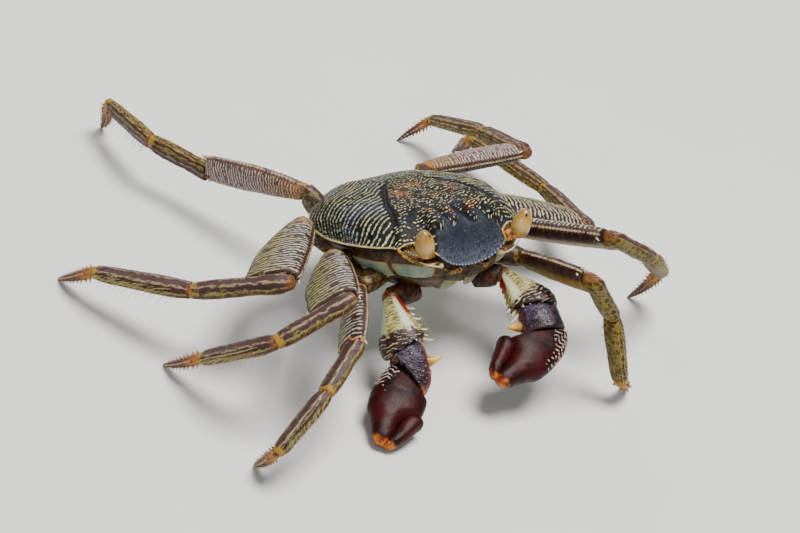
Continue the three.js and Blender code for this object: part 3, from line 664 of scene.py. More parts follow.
def wrist_finish():
    f = Finish("wrist_shell")
    place = f.mark("place")
    along, across, through = (f.mark("run", axis) for axis in "XYZ")
    crest = f.mark("crest", "value")
    mid = f.noise(place, 1.8, 4.0, 0.6)
    fine = f.noise(place, 0.4, 3.0, 0.7)
    colour = f.mix(f.from_to(mid, 0.4, 0.62), (0.006, 0.004, 0.006), (0.035, 0.012, 0.016))
    bluish_cloud = f.sum("MULTIPLY", f.from_to(along, 0.7, 0.25), f.from_to(mid, 0.36, 0.66, 0.0, 0.8))
    colour = f.mix(bluish_cloud, colour, (0.065, 0.05, 0.11))
    rim = f.from_to(f.sum("ADD", f.sum("ABSOLUTE", across), f.sum("MULTIPLY", mid, 0.3)), 0.95, 1.12)
    colour = f.mix(rim, colour, (0.10, 0.008, 0.01))
    lip = f.from_to(f.sum("ADD", along, f.sum("MULTIPLY", mid, 0.12)), 0.9, 1.0)
    colour = f.mix(lip, colour, f.mix(f.from_to(mid, 0.42, 0.58), (0.12, 0.01, 0.006), (0.50, 0.12, 0.012)))
    colour = f.mix(f.from_to(crest, 0.4, 0.7), colour, f.mix(f.from_to(fine, 0.4, 0.6), (0.36, 0.30, 0.30),
                                                             (0.22, 0.10, 0.09)))
    colour = f.mix(f.from_to(through, -0.3, -0.8), colour, (0.08, 0.02, 0.012))
    return f.shell(colour, f.from_to(fine, 0.3, 0.7, 0.3, 0.5), f.sum("ADD", fine, f.cells(place, 0.5)), 0.12, coat=0.1)


def hand_finish():
    f = Finish("hand_shell")
    place = f.mark("place")
    along, across, through = (f.mark("run", axis) for axis in "XYZ")
    crest = f.mark("crest", "value")
    mid = f.noise(place, 2.6, 4.0, 0.6)
    fine = f.noise(place, 0.4, 3.0, 0.7)
    colour = f.mix(f.from_to(f.noise(place, 5.0, 3.0), 0.35, 0.65), (0.009, 0.0012, 0.0014), (0.040, 0.0022, 0.0024))
    colour = f.mix(f.from_to(mid, 0.5, 0.7, 0.0, 0.7), colour, (0.010, 0.002, 0.003))
    colour = f.mix(f.from_to(f.noise(place, 0.8, 3.0), 0.58, 0.7, 0.0, 0.4), colour, (0.075, 0.010, 0.007))
    dusk = f.sum("MULTIPLY", f.from_to(along, 0.4, 0.15), f.from_to(across, 0.2, -0.5))
    colour = f.mix(dusk, colour, (0.016, 0.008, 0.012))
    colour = f.mix(f.from_to(crest, 0.3, 0.6), colour, f.mix(f.from_to(fine, 0.45, 0.6), (0.56, 0.44, 0.36),
                                                             (0.30, 0.16, 0.12)))
    tip = f.from_to(f.sum("ADD", along, f.sum("MULTIPLY", mid, 0.14)), 1.0, 1.06)
    colour = f.mix(tip, colour, f.mix(f.from_to(mid, 0.42, 0.56), (0.22, 0.03, 0.008), (0.55, 0.17, 0.015)))
    colour = f.mix(f.from_to(through, -0.3, -0.8, 0.0, 0.6), colour, (0.12, 0.02, 0.01))
    return f.shell(colour, f.from_to(fine, 0.3, 0.7, 0.38, 0.52), mid, 0.15, coat=0.0, specular=0.16)


# %% [markdown]
# ## The soft colours below
# The walls under the shell's edge are brown, with smooth panels of pale sea green, and below
# the panels and under the front they carry dark brown bands of painted shade. The breast and
# the folded tail are paler still. The eyes are tan and orange, with a pale band across the
# middle that is partly their own cream and partly a painted highlight, and a small dark spot.
# They sit on short golden stalks, and the pits that hold them are mottled gold and brown.

# %% Finishes of walls, joints, eyes, spines and hairs
def wall_finish():
    f = Finish("wall_shell")
    place = f.mark("place")
    panel, brown_and_shade, seam = (f.mark("zone", axis) for axis in "XYZ")
    mid = f.noise(place, 2.0, 4.0, 0.6)
    fine = f.noise(place, 0.5, 3.0, 0.7)
    sea = f.mix(f.from_to(f.noise(place, 3.5, 3.0), 0.4, 0.62), (0.15, 0.235, 0.20), (0.25, 0.31, 0.20))
    sea = f.mix(f.from_to(f.noise(place, 1.2, 3.0), 0.56, 0.7, 0.0, 0.8), sea, (0.24, 0.12, 0.02))
    # The brown zone's colour: the walls' own dark brown, which also serves as painted shade on the lower walls, under
    # the front and on the mouth doors.
    brown_and_shade_colour = f.mix(f.from_to(mid, 0.4, 0.62), (0.012, 0.005, 0.003), (0.10, 0.035, 0.006))
    brown_and_shade_colour = f.mix(f.from_to(f.noise(place, 0.7, 2.0), 0.58, 0.68, 0.0, 0.7), brown_and_shade_colour, (0.20, 0.11, 0.025))
    share = f.sum("ADD", brown_and_shade, f.sum("MULTIPLY", f.sum("SUBTRACT", mid, 0.5), 0.9))
    colour = f.mix(f.from_to(share, 0.4, 0.6), sea, brown_and_shade_colour)
    colour = f.mix(panel, colour, sea)
    brink = f.from_to(f.sum("ABSOLUTE", f.sum("SUBTRACT", panel, 0.5)), 0.42, 0.1, 0.0, 0.75)
    colour = f.mix(brink, colour, (0.34, 0.25, 0.09))
    colour = f.mix(seam, colour, (0.50, 0.36, 0.14))
    height = f.sum("ADD", f.sum("MULTIPLY", fine, 0.6), f.sum("MULTIPLY", mid, 0.4))
    return f.shell(colour, f.from_to(fine, 0.3, 0.7, 0.32, 0.52), height, 0.08, coat=0.06)


def mottled_finish(name, base, blot, size, share=0.5, rough=(0.35, 0.55), coat=0.06, depth=0.06):
    f = Finish(name)
    place = f.mark("place")
    fine = f.noise(place, 0.35, 3.0, 0.7)
    cloudy = f.noise(place, size, 4.0, 0.62, 0.4)
    colour = f.mix(f.from_to(cloudy, share - 0.06, share + 0.08), base, blot)
    colour = f.mix(f.from_to(fine, 0.55, 0.7, 0.0, 0.4), colour, tuple(0.5 * c for c in blot))
    return f.shell(colour, f.from_to(fine, 0.3, 0.7, *rough), fine, depth, coat=coat)


def eye_finish():
    f = Finish("eye_surface")
    place = f.mark("place")
    height_up = f.mark("run", "X")
    pupil = f.mark("crest", "value")
    fine = f.noise(place, 0.35, 2.0, 0.6)
    mid = f.noise(place, 2.4, 2.0, 0.5)
    # The ramp's lightest stop, halfway up the egg, is partly the eye's own pale cream and partly a painted highlight.
    # The rest of the ramp is the eye's own tan and orange.
    colour = f.bands(f.sum("ADD", height_up, f.sum("MULTIPLY", f.sum("SUBTRACT", mid, 0.5), 0.5)), [
        (0.0, (0.26, 0.04, 0.004)), (0.2, (0.50, 0.20, 0.006)), (0.3, (0.42, 0.22, 0.03)),
        (0.5, (0.50, 0.33, 0.11)), (0.72, (0.42, 0.21, 0.03)), (0.9, (0.26, 0.15, 0.03))])
    colour = f.mix(f.from_to(fine, 0.5, 0.7, 0.0, 0.25), colour, (0.46, 0.32, 0.14))
    colour = f.mix(f.from_to(pupil, 0.4, 0.7), colour, (0.03, 0.028, 0.022))
    facets = f.cells(place, 0.16)
    return f.shell(colour, f.from_to(fine, 0.3, 0.7, 0.12, 0.22), facets, 0.02, coat=0.6, coat_rough=0.06)


def hair_finish(name, root, tip, rough):
    f = Finish(name)
    along = f.mark("run", "X")
    place = f.mark("place")
    streak = f.noise(place, 0.6, 2.0)
    colour = f.mix(f.from_to(along, 0.1, 0.8), root, tip)
    colour = f.mix(f.from_to(streak, 0.45, 0.7, 0.0, 0.5), colour, tuple(0.6 * c for c in root))
    return f.shell(colour, rough, streak, 0.02, coat=0.1)


FINISHES = {
    "back": back_finish(), "thigh": thigh_finish(), "shin": shin_finish(), "toe": toe_finish(),
    "arm": arm_finish(), "wrist": wrist_finish(), "hand": hand_finish(), "wall": wall_finish(),
    "eye": eye_finish(),
    "stalk": mottled_finish("stalk_shell", (0.55, 0.24, 0.02), (0.10, 0.02, 0.008), 1.1, 0.52),
    "orbit": mottled_finish("orbit_shell", (0.36, 0.19, 0.03), (0.02, 0.008, 0.003), 0.9, 0.46),
    "orbit_rim": mottled_finish("orbit_rim_shell", (0.42, 0.24, 0.045), (0.10, 0.03, 0.006), 1.3, 0.5),
    "hip": mottled_finish("hip_shell", (0.17, 0.12, 0.02), (0.035, 0.012, 0.005), 1.7, 0.45),
    # The claw's hip is dark brown with darker mottles: its own brown, darkened further as painted shade where it lies
    # in shadow beside the body.
    "claw_hip": mottled_finish("claw_hip_shell", (0.11, 0.038, 0.010), (0.020, 0.007, 0.005), 1.6, 0.46),
    "joint": mottled_finish("joint_skin", (0.30, 0.09, 0.014), (0.06, 0.02, 0.009), 1.0, 0.46),
    "spine": hair_finish("spine_horn", (0.10, 0.03, 0.012), (0.50, 0.36, 0.18), 0.4),
    "thorn": hair_finish("thorn_horn", (0.06, 0.010, 0.012), (0.85, 0.50, 0.06), 0.35),
    "tooth": hair_finish("tooth_horn", (0.46, 0.32, 0.14), (0.70, 0.66, 0.46), 0.4),
    "bristle": hair_finish("bristle_hair", (0.30, 0.20, 0.05), (0.55, 0.46, 0.22), 0.55),
}
print("finishes:", ", ".join(FINISHES))

# %% [markdown]
# ## The back
# The shell over the back is a low dome with a flat, sharp edge, wider than long. Between the
# eyes it turns down into a smooth plate, and four swollen lobes end above that plate. It could
# be sculpted, but its edge is a curve through a few landmarks, and the dome is that edge drawn
# in toward the crown step by step, so it is made from rings of the edge.

# %% Edge of the back
RIM = [
    [LENGTH_FRONT, 0, -FRONT_DROP],
    [LENGTH_FRONT + 0.2, 0.62 * FRONT_HALF, -0.84 * FRONT_DROP],
    [LENGTH_FRONT - 0.2, FRONT_HALF, -0.5 * FRONT_DROP],
    [LENGTH_FRONT - 3.2, FRONT_HALF + 1.4, -3.6],
    [LENGTH_FRONT - 5.4, 0.5 * (FRONT_HALF + ORBIT_OUTER), -1.9],
    [LENGTH_FRONT - 6.2, ORBIT_OUTER - 1.2, -2.6],
    [LENGTH_FRONT - 6.6, ORBIT_OUTER + 0.2, -3.3],
    [18.4, 23.6, -3.5], [15.6, 26.6, -3.8], [10.5, 29.4, -4.3], [4, 31.8, -4.7],
    [-3, HALF_WIDTH, -4.9], [-11, 31.2, -4.5], [-18, 27.4, -3.6], [-23.6, 21.6, -2.6],
    [-27.2, 15.5, -1.9], [-LENGTH_BACK, 7, -1.6], [-LENGTH_BACK, 0, -1.6],
]


def curve_through(points, count, closed=False):
    """Points on a smooth curve through landmarks, the same number between each two."""
    p = np.array(points, float)
    n = len(p)
    spans = n if closed else n - 1
    at = np.linspace(0, spans, count, endpoint=not closed)
    i = np.minimum(at.astype(int), spans - 1)
    u = (at - i)[:, None]
    if closed:
        a, b, c, d = p[i - 1], p[i], p[(i + 1) % n], p[(i + 2) % n]
    else:
        whole = np.vstack([2 * p[0] - p[1], p, 2 * p[-1] - p[-2]])
        a, b, c, d = whole[i], whole[i + 1], whole[i + 2], whole[i + 3]

    def gap(q, r):
        return np.maximum(np.linalg.norm(r - q, axis=1, keepdims=True) ** 0.5, 1e-6)
    ab, bc, cd = gap(a, b), gap(b, c), gap(c, d)
    into = ((b - a) / ab - (c - a) / (ab + bc) + (c - b) / bc) * bc
    away = ((c - b) / bc - (d - b) / (bc + cd) + (d - c) / cd) * bc
    return (b + into * u + (-3 * b + 3 * c - 2 * into - away) * u ** 2
            + (2 * b - 2 * c + into + away) * u ** 3)


rim = curve_through([[x, -y, z] for x, y, z in RIM] + [[x, y, z] for x, y, z in RIM[-2:0:-1]], 646, True)[::-1]
print("edge of the back:", len(rim), "points, width", round(float(np.ptp(rim[:, 1])), 1), "mm")

# %% [markdown]
# ## The lines over the back
# Over the gills the pale lines run inward and a little backward, and hook forward as they drop
# to the edge. Over the stomach they are short and broken, and behind it they cross the back.
# A groove parts the stomach from the gills. All of it is a height drawn on the dome by formulas,
# so the same numbers raise the shell and color it.

# %% Relief of the back
def lobe_humps(x, y):
    ay = np.abs(y)
    inner = hump(ay, 3.7, 2.1) * step(x, 12.5, 17.5) * step(x, 23.4, 22.3)
    outer = hump(ay, 9.3, 2.3) * step(x, 13.5, 18) * step(x, 23.9, 22.5)
    return np.maximum(inner, outer)


def back_relief(x, y, share, front):
    ay = np.abs(y)
    spot_at = np.stack([x, y, 0 * x], -1)
    wave = cloud(spot_at, 3.2, 5) - 0.5
    hook = np.interp(ay, [0, 7.6, 15, 20, 24.2, 27.5, 29.1, 31.3, 32.5],
                     [-10.4, -7.8, -2.9, -2.2, -1.3, -0.4, 0.5, 5.0, 9.0])
    groove_y = np.interp(x, [-14, -8, -4.8, 0, 5.1, 12.3, 16, 20], [5, 6.5, 9.5, 12.6, 15.7, 18.3, 20.5, 22])
    gill = step(ay - groove_y, -0.6, 1.0)
    gill = np.maximum(gill, step(x, -8, -11))
    lines = bead_lines(x - hook + 1.1 * wave, ay + 0.2 * x, 1.62, 0.9, 11, 0.05, 0.24, 0.56)
    between = bead_lines(x - hook + 0.81 + 0.8 * wave, ay + 0.2 * x, 1.62, 0.7, 12, 0.45, 0.14, 0.46)
    gills = np.maximum(lines, 0.6 * between)
    stomach = bead_lines(x + 0.35 * ay + 2.6 * wave, y + 1.4 * wave, 1.12, 0.95, 13, 0.3, 0.26, 0.46)
    crest = gill * gills + (1 - gill) * stomach
    groove = hump(ay - groove_y, 0, 1.0) * step(x, -9, -5) * step(x, 17, 13)
    middle = hump(y, 0, 0.8) * step(x, 14, 18)
    tips = np.maximum(hump(ay, 3.7, 2.2), hump(ay, 9.0, 2.2))
    parting = 0.14 * hump(y, 0, 1.25) + 0.06 * hump(ay, 6.5, 0.9)
    brow = share - 0.75 - 0.115 * tips + parting + 0.03 * wave
    plate = front * step(brow, -0.012, 0.012)
    crest = crest * (1 - 0.85 * groove) * (1 - plate) * (1 - 0.8 * middle)
    beads = front * hump(brow, -0.022, 0.014) * step(tips, 0.25, 0.5) * (0.5 + 0.5 * np.cos(2 * np.pi * y / 0.85))
    crest = np.maximum(crest, beads)
    lobes = lobe_humps(x, y)
    height = 0.18 * crest - 0.8 * groove - 0.4 * middle * (1 - plate) + 1.9 * lobes * (1 - plate)
    height += 0.8 * (cloud(spot_at, 5.0, 3) - 0.5) * (1 - plate)
    return crest, height, plate, gill


def dome_height(share, rim_z, front):
    edge = DOME * (1 - share ** 2.6)
    base = rim_z * (1 - step(1 - share, 0, 0.22)) * share ** 2
    ahead = np.interp(share, [0, 0.3, 0.5, 0.68, 0.78, 0.845, 0.87, 0.9, 0.95, 1],
                      [6.6, 6.31, 5.5, 4.2, 3.0, 1.6, 0.7, -1.0, -4.8, -10.0])
    ahead = ahead + (rim_z + 10) * np.clip((share - 0.86) / 0.14, 0, 1)
    return edge + base + front * (ahead - edge - base)


TOOTH_PITCH = 1.25


def build_back():
    shares = np.concatenate([[0.0035], np.linspace(0.02, 0.8, 96), np.linspace(0.806, 1, 36)])
    share = shares[:, None]
    front = (step(np.abs(rim[:, 1]), FRONT_HALF + 0.6, FRONT_HALF - 1.2) * (rim[:, 0] > 20))[None, :]
    x, y = rim[:, 0] * share, rim[:, 1] * share
    top = np.stack([x, y, dome_height(share, rim[:, 2], front)], -1)
    crest, height, plate, gill = back_relief(x, y, share + 0 * x, front + 0 * x)
    edge = step(share + 0 * x, 0.98 + 0.012 * front, 0.992 + 0.005 * front)
    scallops = 0.5 + 0.5 * np.cos(2 * np.pi * np.cumsum(np.linalg.norm(np.roll(rim, -1, 0) - rim, axis=1)) / TOOTH_PITCH)
    height = height * step(share + 0 * x, 1.0, 0.975) + edge * (0.1 + 0.5 * scallops * front)
    sag = plate * 0.55 * (hump(np.abs(y), 6.2, 3.4) - hump(y, 0, 3.2)) * step(share, 1.0, 0.92)
    top = top + grid_normals(top[:, ::-1])[:, ::-1] * (height + sag)[..., None]
    lip = np.stack([rim[:, 0], rim[:, 1], rim[:, 2] - 0.35], -1)
    inset = np.stack([rim[:, 0] * 0.98, rim[:, 1] * 0.985, np.maximum(rim[:, 2], -9.2) - 0.8], -1)
    under = np.stack([rim[:, 0] * 0.9, rim[:, 1] * 0.95, np.maximum(rim[:, 2], -6.5) - 1.4], -1)
    hollow = np.stack([rim[:, 0] * 0.4, rim[:, 1] * 0.45, 0 * rim[:, 0] - 5.2], -1)
    grid = np.concatenate([top, lip[None], inset[None], under[None], hollow[None]])
    below = len(grid) - len(top)
    crest = crest * step(share, 0.995, 0.985) + edge * front * scallops
    # Painted sheen: the lower part of the front plate, near its edge, is marked to be painted paler and bluer, a
    # painted reflection of the sky. The mark rides in spot, beside the back's real spots.
    painted_sky_sheen = plate * step(share, 0.91, 0.995)

    def pad(values, fill=0.0):
        return np.concatenate([values, np.full((below, values.shape[1]), fill)])
    spots = sum(hump(np.hypot(x - cx, y - cy), 0, size) for cx, cy, size in
                [(4.6, -9.0, 2.0), (17.2, 8.0, 1.3), (8.4, -1.2, 1.4), (2.0, -8.6, 2.6), (-1.6, -5.4, 2.2),
                 (4.0, 8.6, 2.2), (-2.5, 0.0, 2.4), (17.0, -9.0, 1.5), (19.0, -3.6, 1.2), (19.0, 3.6, 1.5)])
    marks = {
        "place": grid, "crest": pad(crest), "spot": pad(np.clip(spots * (1 - plate) + painted_sky_sheen, 0, 1)),
        "zone": np.stack([pad(plate), pad(gill), pad(edge + 0 * x, 0.0)], -1),
    }
    grid, marks = grid[::-1], {k: v[::-1] for k, v in marks.items()}
    rows, around = grid.shape[:2]
    points, faces = close_ends(grid.reshape(-1, 3), grid_faces(rows, around), rows, around)
    marks = {k: with_ends(v, grid.shape) for k, v in marks.items()}
    return make_piece("back_shell", placed(points, BODY), faces, FINISHES["back"], marks, ["carapace"])


back = build_back()
print("back shell:", len(back.data.polygons), "faces")

# %% [markdown]
# ## The walls, the breast and the tail
# Under the edge of the back the body narrows like a boat. The walls are the same hull that the
# solids have, drawn finely, and marked with panels, seams, brown parts and the dark bands of
# painted shade below the panels and under the front. The tail is a plated strip that folds
# under the body. It is the same loft as the limbs, threaded on a bent line.

# %% Build the walls and the breast
TRUNK_ROWS = np.array([
    [-21.2, 12, -9, 9], [-19.6, 17, -14, 14.5], [-16.4, 22, -18.5, 20], [-12.6, 25.2, -22, 24.5],
    [-8.6, 25.6, -24.4, 28], [-2, 21, -24.5, 28]], float)


def build_walls():
    level = np.linspace(-21.2, -2, 90)[:, None]
    angle = 2 * np.pi * np.arange(300) / 300
    size = blended(TRUNK_ROWS, level + 0 * angle)
    c, s = np.cos(angle), np.sin(angle)
    middle, half_long = 0.5 * (size[..., 0] + size[..., 1]), 0.5 * (size[..., 0] - size[..., 1])
    x = middle + half_long * np.sign(c) * np.abs(c) ** 0.8
    y = size[..., 2] * np.sign(s) * np.abs(s) ** 0.8
    z = level + 0 * x
    grid = np.stack([x, y, z], -1)
    ay = np.abs(y)
    ahead = step(x, 2, 5)
    wander = 0.8 * (cloud(grid, 4.0, 8) - 0.5)
    panel = step(z + wander, -8.2, -9.0) * step(z + wander, -13.4, -12.8) * ahead * (1 - hump(x, 17.6, 1.1))
    brown_and_shade = np.clip(step(z + wander, -9.2, -8.4) + 0.9 * hump(x, 17.6, 1.5) * ahead, 0, 1)
    middle = step(ay + wander, 13.0, 11.2) * step(x, 18, 21)
    panel = panel * (1 - middle)
    # Painted shade: in the middle of the front, below the front plate, the wall is painted brown for the shade over the
    # mouth.
    brown_and_shade = np.maximum(brown_and_shade, 0.95 * middle * step(z, -6.5, -7.5))
    brown_and_shade = np.maximum(brown_and_shade, 0.75 * hump(z, -13.7, 0.7) * ahead)
    brown_and_shade = np.maximum(brown_and_shade, step(x, 3, -2) * step(z, -16, -12) * 0.7)
    # Painted shade: from just under the panels down toward the breast, the wall is painted dark brown all round for the
    # shade under the body. The wall's own colour there is pale.
    brown_and_shade = np.maximum(brown_and_shade, step(z + wander, -13.2, -13.9) * step(z, -20.6, -18.5) * 0.9)
    seam = hump(z + 0.28 * (x - 8) * (x < 14), -12.8, 0.3) * ahead * step(x, 18, 15)
    furrow = hump((x + 2) / 6.4 - np.round((x + 2) / 6.4), 0, 0.06) * step(z, -14.5, -16.5)
    height = 0.35 * panel - 0.5 * furrow + 0.4 * seam + 0.3 * (cloud(grid, 2.4, 9) - 0.5)
    height = height - 0.7 * hump(z, -13.7, 0.6) * ahead
    raised = grid + grid_normals(grid) * height[..., None]
    rows, around = grid.shape[:2]
    points, faces = close_ends(raised.reshape(-1, 3), grid_faces(rows, around), rows, around)
    marks = {"place": with_ends(grid, grid.shape),
             "zone": with_ends(np.stack([panel, brown_and_shade, np.clip(seam, 0, 1)], -1), grid.shape)}
    return make_piece("walls", placed(points, BODY), faces, FINISHES["wall"], marks, ["trunk"])


def swept(path, sizes, around, side=(0, 1, 0), power=2.0):
    """Grid of ovals on a path: sizes are (half along side, half across it) at each point."""
    tangent = np.gradient(path, axis=0)
    tangent /= np.linalg.norm(tangent, axis=1, keepdims=True)
    side = np.asarray(side, float)
    if side.ndim == 1:
        side = np.broadcast_to(side, path.shape)
    side = side - tangent * np.sum(side * tangent, axis=1, keepdims=True)
    side = side / np.linalg.norm(side, axis=1, keepdims=True)
    up = np.cross(tangent, side)
    angle = 2 * np.pi * (np.arange(around) + 0.5) / around
    c, s = np.cos(angle), np.sin(angle)
    c, s = np.sign(c) * np.abs(c) ** (2 / power), np.sign(s) * np.abs(s) ** (2 / power)
    sizes = np.asarray(sizes, float)
    return (path[:, None] + side[:, None] * (sizes[:, :1] * c)[..., None]
            + up[:, None] * (sizes[:, 1:] * s)[..., None])


def swept_piece(name, grid, finish, where=BODY, relief=None, replaces=(), marks=None):
    rows, around = grid.shape[:2]
    run = np.stack(np.broadcast_arrays(np.linspace(0, 1, rows)[:, None], np.zeros((1, around)), 0.0), -1)
    raised = grid if relief is None else grid + grid_normals(grid) * relief[..., None]
    points, faces = close_ends(raised.reshape(-1, 3), grid_faces(rows, around), rows, around)
    every = {"place": with_ends(grid, grid.shape), "run": with_ends(run, grid.shape)}
    every.update({k: with_ends(v, grid.shape) for k, v in (marks or {}).items()})
    return make_piece(name, placed(points, where), faces, finish, every, replaces)


def build_tail():
    line = curve_through([[-26.6, 0, -4.8], [-28.2, 0, -8], [-26.6, 0, -12.2], [-22, 0, -16.4],
                          [-14, 0, -20.4], [-4, 0, -22.6], [7, 0, -22.9]], 400)
    gone = np.concatenate([[0], np.cumsum(np.linalg.norm(np.diff(line, axis=0), axis=1))])
    t = np.linspace(0, 1, 110)
    path = np.stack([np.interp(t * gone[-1], gone, line[:, i]) for i in range(3)], -1)
    half = np.interp(t, np.linspace(0, 1, 9), [10, 11.6, 12.2, 11.4, 10, 8.2, 6.4, 4.6, 2.4])
    grid = swept(path, np.stack([half, np.full(110, 1.05)], -1), 90, (0, 1, 0), 2.8)
    joint = t * 6.6 + 0.2
    furrow = hump(joint - np.round(joint), 0, 0.05)[:, None]
    zone = np.stack(np.broadcast_arrays(0.6 + 0 * grid[..., 0], 0.62 * hump(joint - np.round(joint), 0, 0.16)[:, None], 0.0), -1)
    return swept_piece("tail", grid, FINISHES["wall"], BODY, -0.35 * furrow + 0.15 * (cloud(grid, 2, 4) - 0.5),
                       ["abdomen"], {"zone": zone})


walls, tail = build_walls(), build_tail()
print("walls:", len(walls.data.polygons), "faces, tail:", len(tail.data.polygons), "faces")

# %% [markdown]
# ## The mouth plates
# Two broad leaf-shaped plates close over the mouth like doors. They are pale sea green, but
# their lower part, one side and their furrows are dark brown: partly the doors' own brown
# edges and partly painted shade under the front. Each is a short loft, raised along its
# middle, and a small feeler lies beside it.

# %% Build the mouth plates
def build_mouth(side):
    frame_here = frame_along([24.6, side * 5.3, -10.6], [-0.66, 0, -1], [1, side * 0.35, 0])
    rows = [[0, 2.2, 2.2, 0.8], [1.2, 3.6, 3.6, 1.2], [5, 4.3, 4.3, 1.4], [8, 3.6, 3.6, 1.2], [10.4, 2, 2, 0.9]]
    grid, run = loft(rows, 70, 72, power=2.2, keel=1.15)
    x, across = grid[..., 0], run[..., 1]
    furrow = hump(across, 0.25, 0.08) * step(x, 1, 3) + hump(x, 6.4, 0.25)
    relief = -0.3 * furrow + 0.2 * (cloud(grid, 1.2, 30 + side) - 0.5)
    # Dark brown on the door's lower part, one side and furrows: partly the door's own brown edges, partly painted shade
    # under the front of the body.
    brown_and_shade = np.clip(0.9 * step(x, 6.2, 4.6) + step(across * side, 0.0, -0.3) + 0.8 * furrow, 0, 1)
    marks = {"zone": np.stack([0.75 * (1 - brown_and_shade), brown_and_shade, 0 * brown_and_shade], -1)}
    name = f"mouth_plate_{SIDES[side]}"
    return limb_piece(f"mouth_door_{SIDES[side]}", BODY @ frame_here, grid, run, relief, FINISHES["wall"],
                      marks, name)


for side in (-1, 1):
    build_mouth(side)

# %% [markdown]
# ## The eyes
# Each eye is an upright egg on a short stalk, carried in a pit with a cream rim. The egg is
# turned a little outward. Its surface is faceted too finely to see, which shows as a soft
# gloss, and a darker spot looks out from near its top.

# %% Build the eyes and their stalks
EYE_TALL = 1.07


def build_eye(side):
    a, b = math.radians(side * -14), math.radians(8)
    about_x = np.array([[1, 0, 0], [0, math.cos(a), -math.sin(a)], [0, math.sin(a), math.cos(a)]])
    about_y = np.array([[math.cos(b), 0, math.sin(b)], [0, 1, 0], [-math.sin(b), 0, math.cos(b)]])
    turn = about_x @ about_y
    t = 0.5 - 0.5 * np.cos(np.pi * np.linspace(0.02, 0.98, 60))[:, None]
    angle = 2 * np.pi * np.arange(64) / 64
    size = np.sqrt(np.maximum(1 - (2 * t - 1) ** 2, 0)) * (1.08 - 0.2 * t) * 0.5 * EYE["width"]
    own = np.stack([size * np.cos(angle), size * np.sin(angle),
                    (t - 0.5) * EYE_TALL * EYE["height"] + 0 * angle], -1)
    centre = np.array([EYE["x"], side * EYE["y"], EYE["z"]])
    grid = own @ turn.T + centre
    look = unit([0.62, side * -0.3, 0.74])
    ball = own / (0.5 * np.array([EYE["width"], EYE["width"], EYE_TALL * EYE["height"]]))
    ball = ball / np.linalg.norm(ball, axis=-1, keepdims=True)
    pupil = hump(np.linalg.norm(ball - look, axis=-1), 0, 0.2)
    run = np.stack(np.broadcast_arrays(t, 0.0, np.cos(angle)), -1)
    relief = -0.12 * hump(t, 0.2, 0.03) + 0 * angle
    name = f"eye_{SIDES[side]}"
    return limb_piece(f"eye_egg_{SIDES[side]}", BODY, grid, run, relief, FINISHES["eye"],
                      {"crest": pupil}, name)


def build_stalk(side):
    start = np.array([23.6, side * 11.6, -6])
    stop = np.array([EYE["x"] - 0.4, side * (EYE["y"] - 0.6), EYE["z"] - 2.4])
    long = float(np.linalg.norm(stop - start))
    rows = [[0, 1.2, 1.2, 1.2], [0.3 * long, 1.5, 1.5, 1.5], [long, 2.1, 2.1, 2.1]]
    grid, run = loft(rows, 40, 40, power=2.1)
    relief = 0.3 * (cloud(grid, 1.4, 40 + side) - 0.5)
    where = BODY @ frame_along(start, stop - start, [0, 0, 1])
    return limb_piece(f"eye_stalk_{SIDES[side]}", where, grid, run, relief, FINISHES["stalk"],
                      None, f"eyestalk_{SIDES[side]}")


for side in (-1, 1):
    build_eye(side)
    build_stalk(side)

# %% [markdown]
# ## The eye pits
# The stalk lies in a pit that opens under the edge of the back. The pit's lower rim stands out
# as a cream ridge, and inside it is mottled. A bent sheet between the rim and the edge of the
# back, pulled inward along its middle, makes the pit, and a bead of changing width makes the rim.

# %% Build the eye pits
def build_pit(side):
    def mirror(points):
        return [[x, side * y, z] for x, y, z in points]
    low = curve_through(mirror([[20.4, 22.6, -3.0], [22.0, 21.4, -5.2], [24.2, 18.2, -7.0], [26.0, 15.2, -8.2],
                                [26.4, 11.6, -7.6]]), 60)
    high = curve_through(mirror([[20.2, 21.9, -2.6], [20.8, 20.6, -2.4], [21.6, 17.6, -2.0], [23.4, 14.4, -3.4],
                                 [25.4, 12.2, -5.0]]), 60)
    deep = 0.5 * (low + high) + np.array([-3.6, -side * 1.0, -1.0])
    v = np.linspace(0, 1, 40)[:, None, None]
    grid = low * (1 - v) ** 2 + 2 * deep * v * (1 - v) + high * v ** 2
    grid = grid + np.array([1.0, 0, 0.2]) * (0.5 * (cloud(grid, 1.3, 50) - 0.5))[..., None]
    rows, across = grid.shape[:2]
    i = np.arange(rows - 1)[:, None] * across + np.arange(across - 1)[None, :]
    faces = np.stack([i, i + 1, i + 1 + across, i + across], -1).reshape(-1, 4)
    pit = make_piece(f"eye_pit_{SIDES[side]}", placed(grid.reshape(-1, 3), BODY), faces.tolist(),
                     FINISHES["orbit"], {"place": grid.reshape(-1, 3)}, ())
    thick = pit.modifiers.new("thickness", "SOLIDIFY")
    thick.thickness, thick.offset = 0.5 * MM, -side
    t = np.linspace(0, 1, 60)
    wide = 0.25 + 0.32 * np.sin(np.pi * t) ** 0.6 + 0.1 * np.sin(17 * t)
    ridge = swept(low + [0.1, 0, 0.1], np.stack([wide, 0.75 * wide], -1), 20, (0, 0, 1))
    swept_piece(f"eye_pit_rim_{SIDES[side]}", ridge, FINISHES["orbit_rim"], BODY,
                0.15 * (cloud(ridge, 0.8, 51) - 0.5), ())


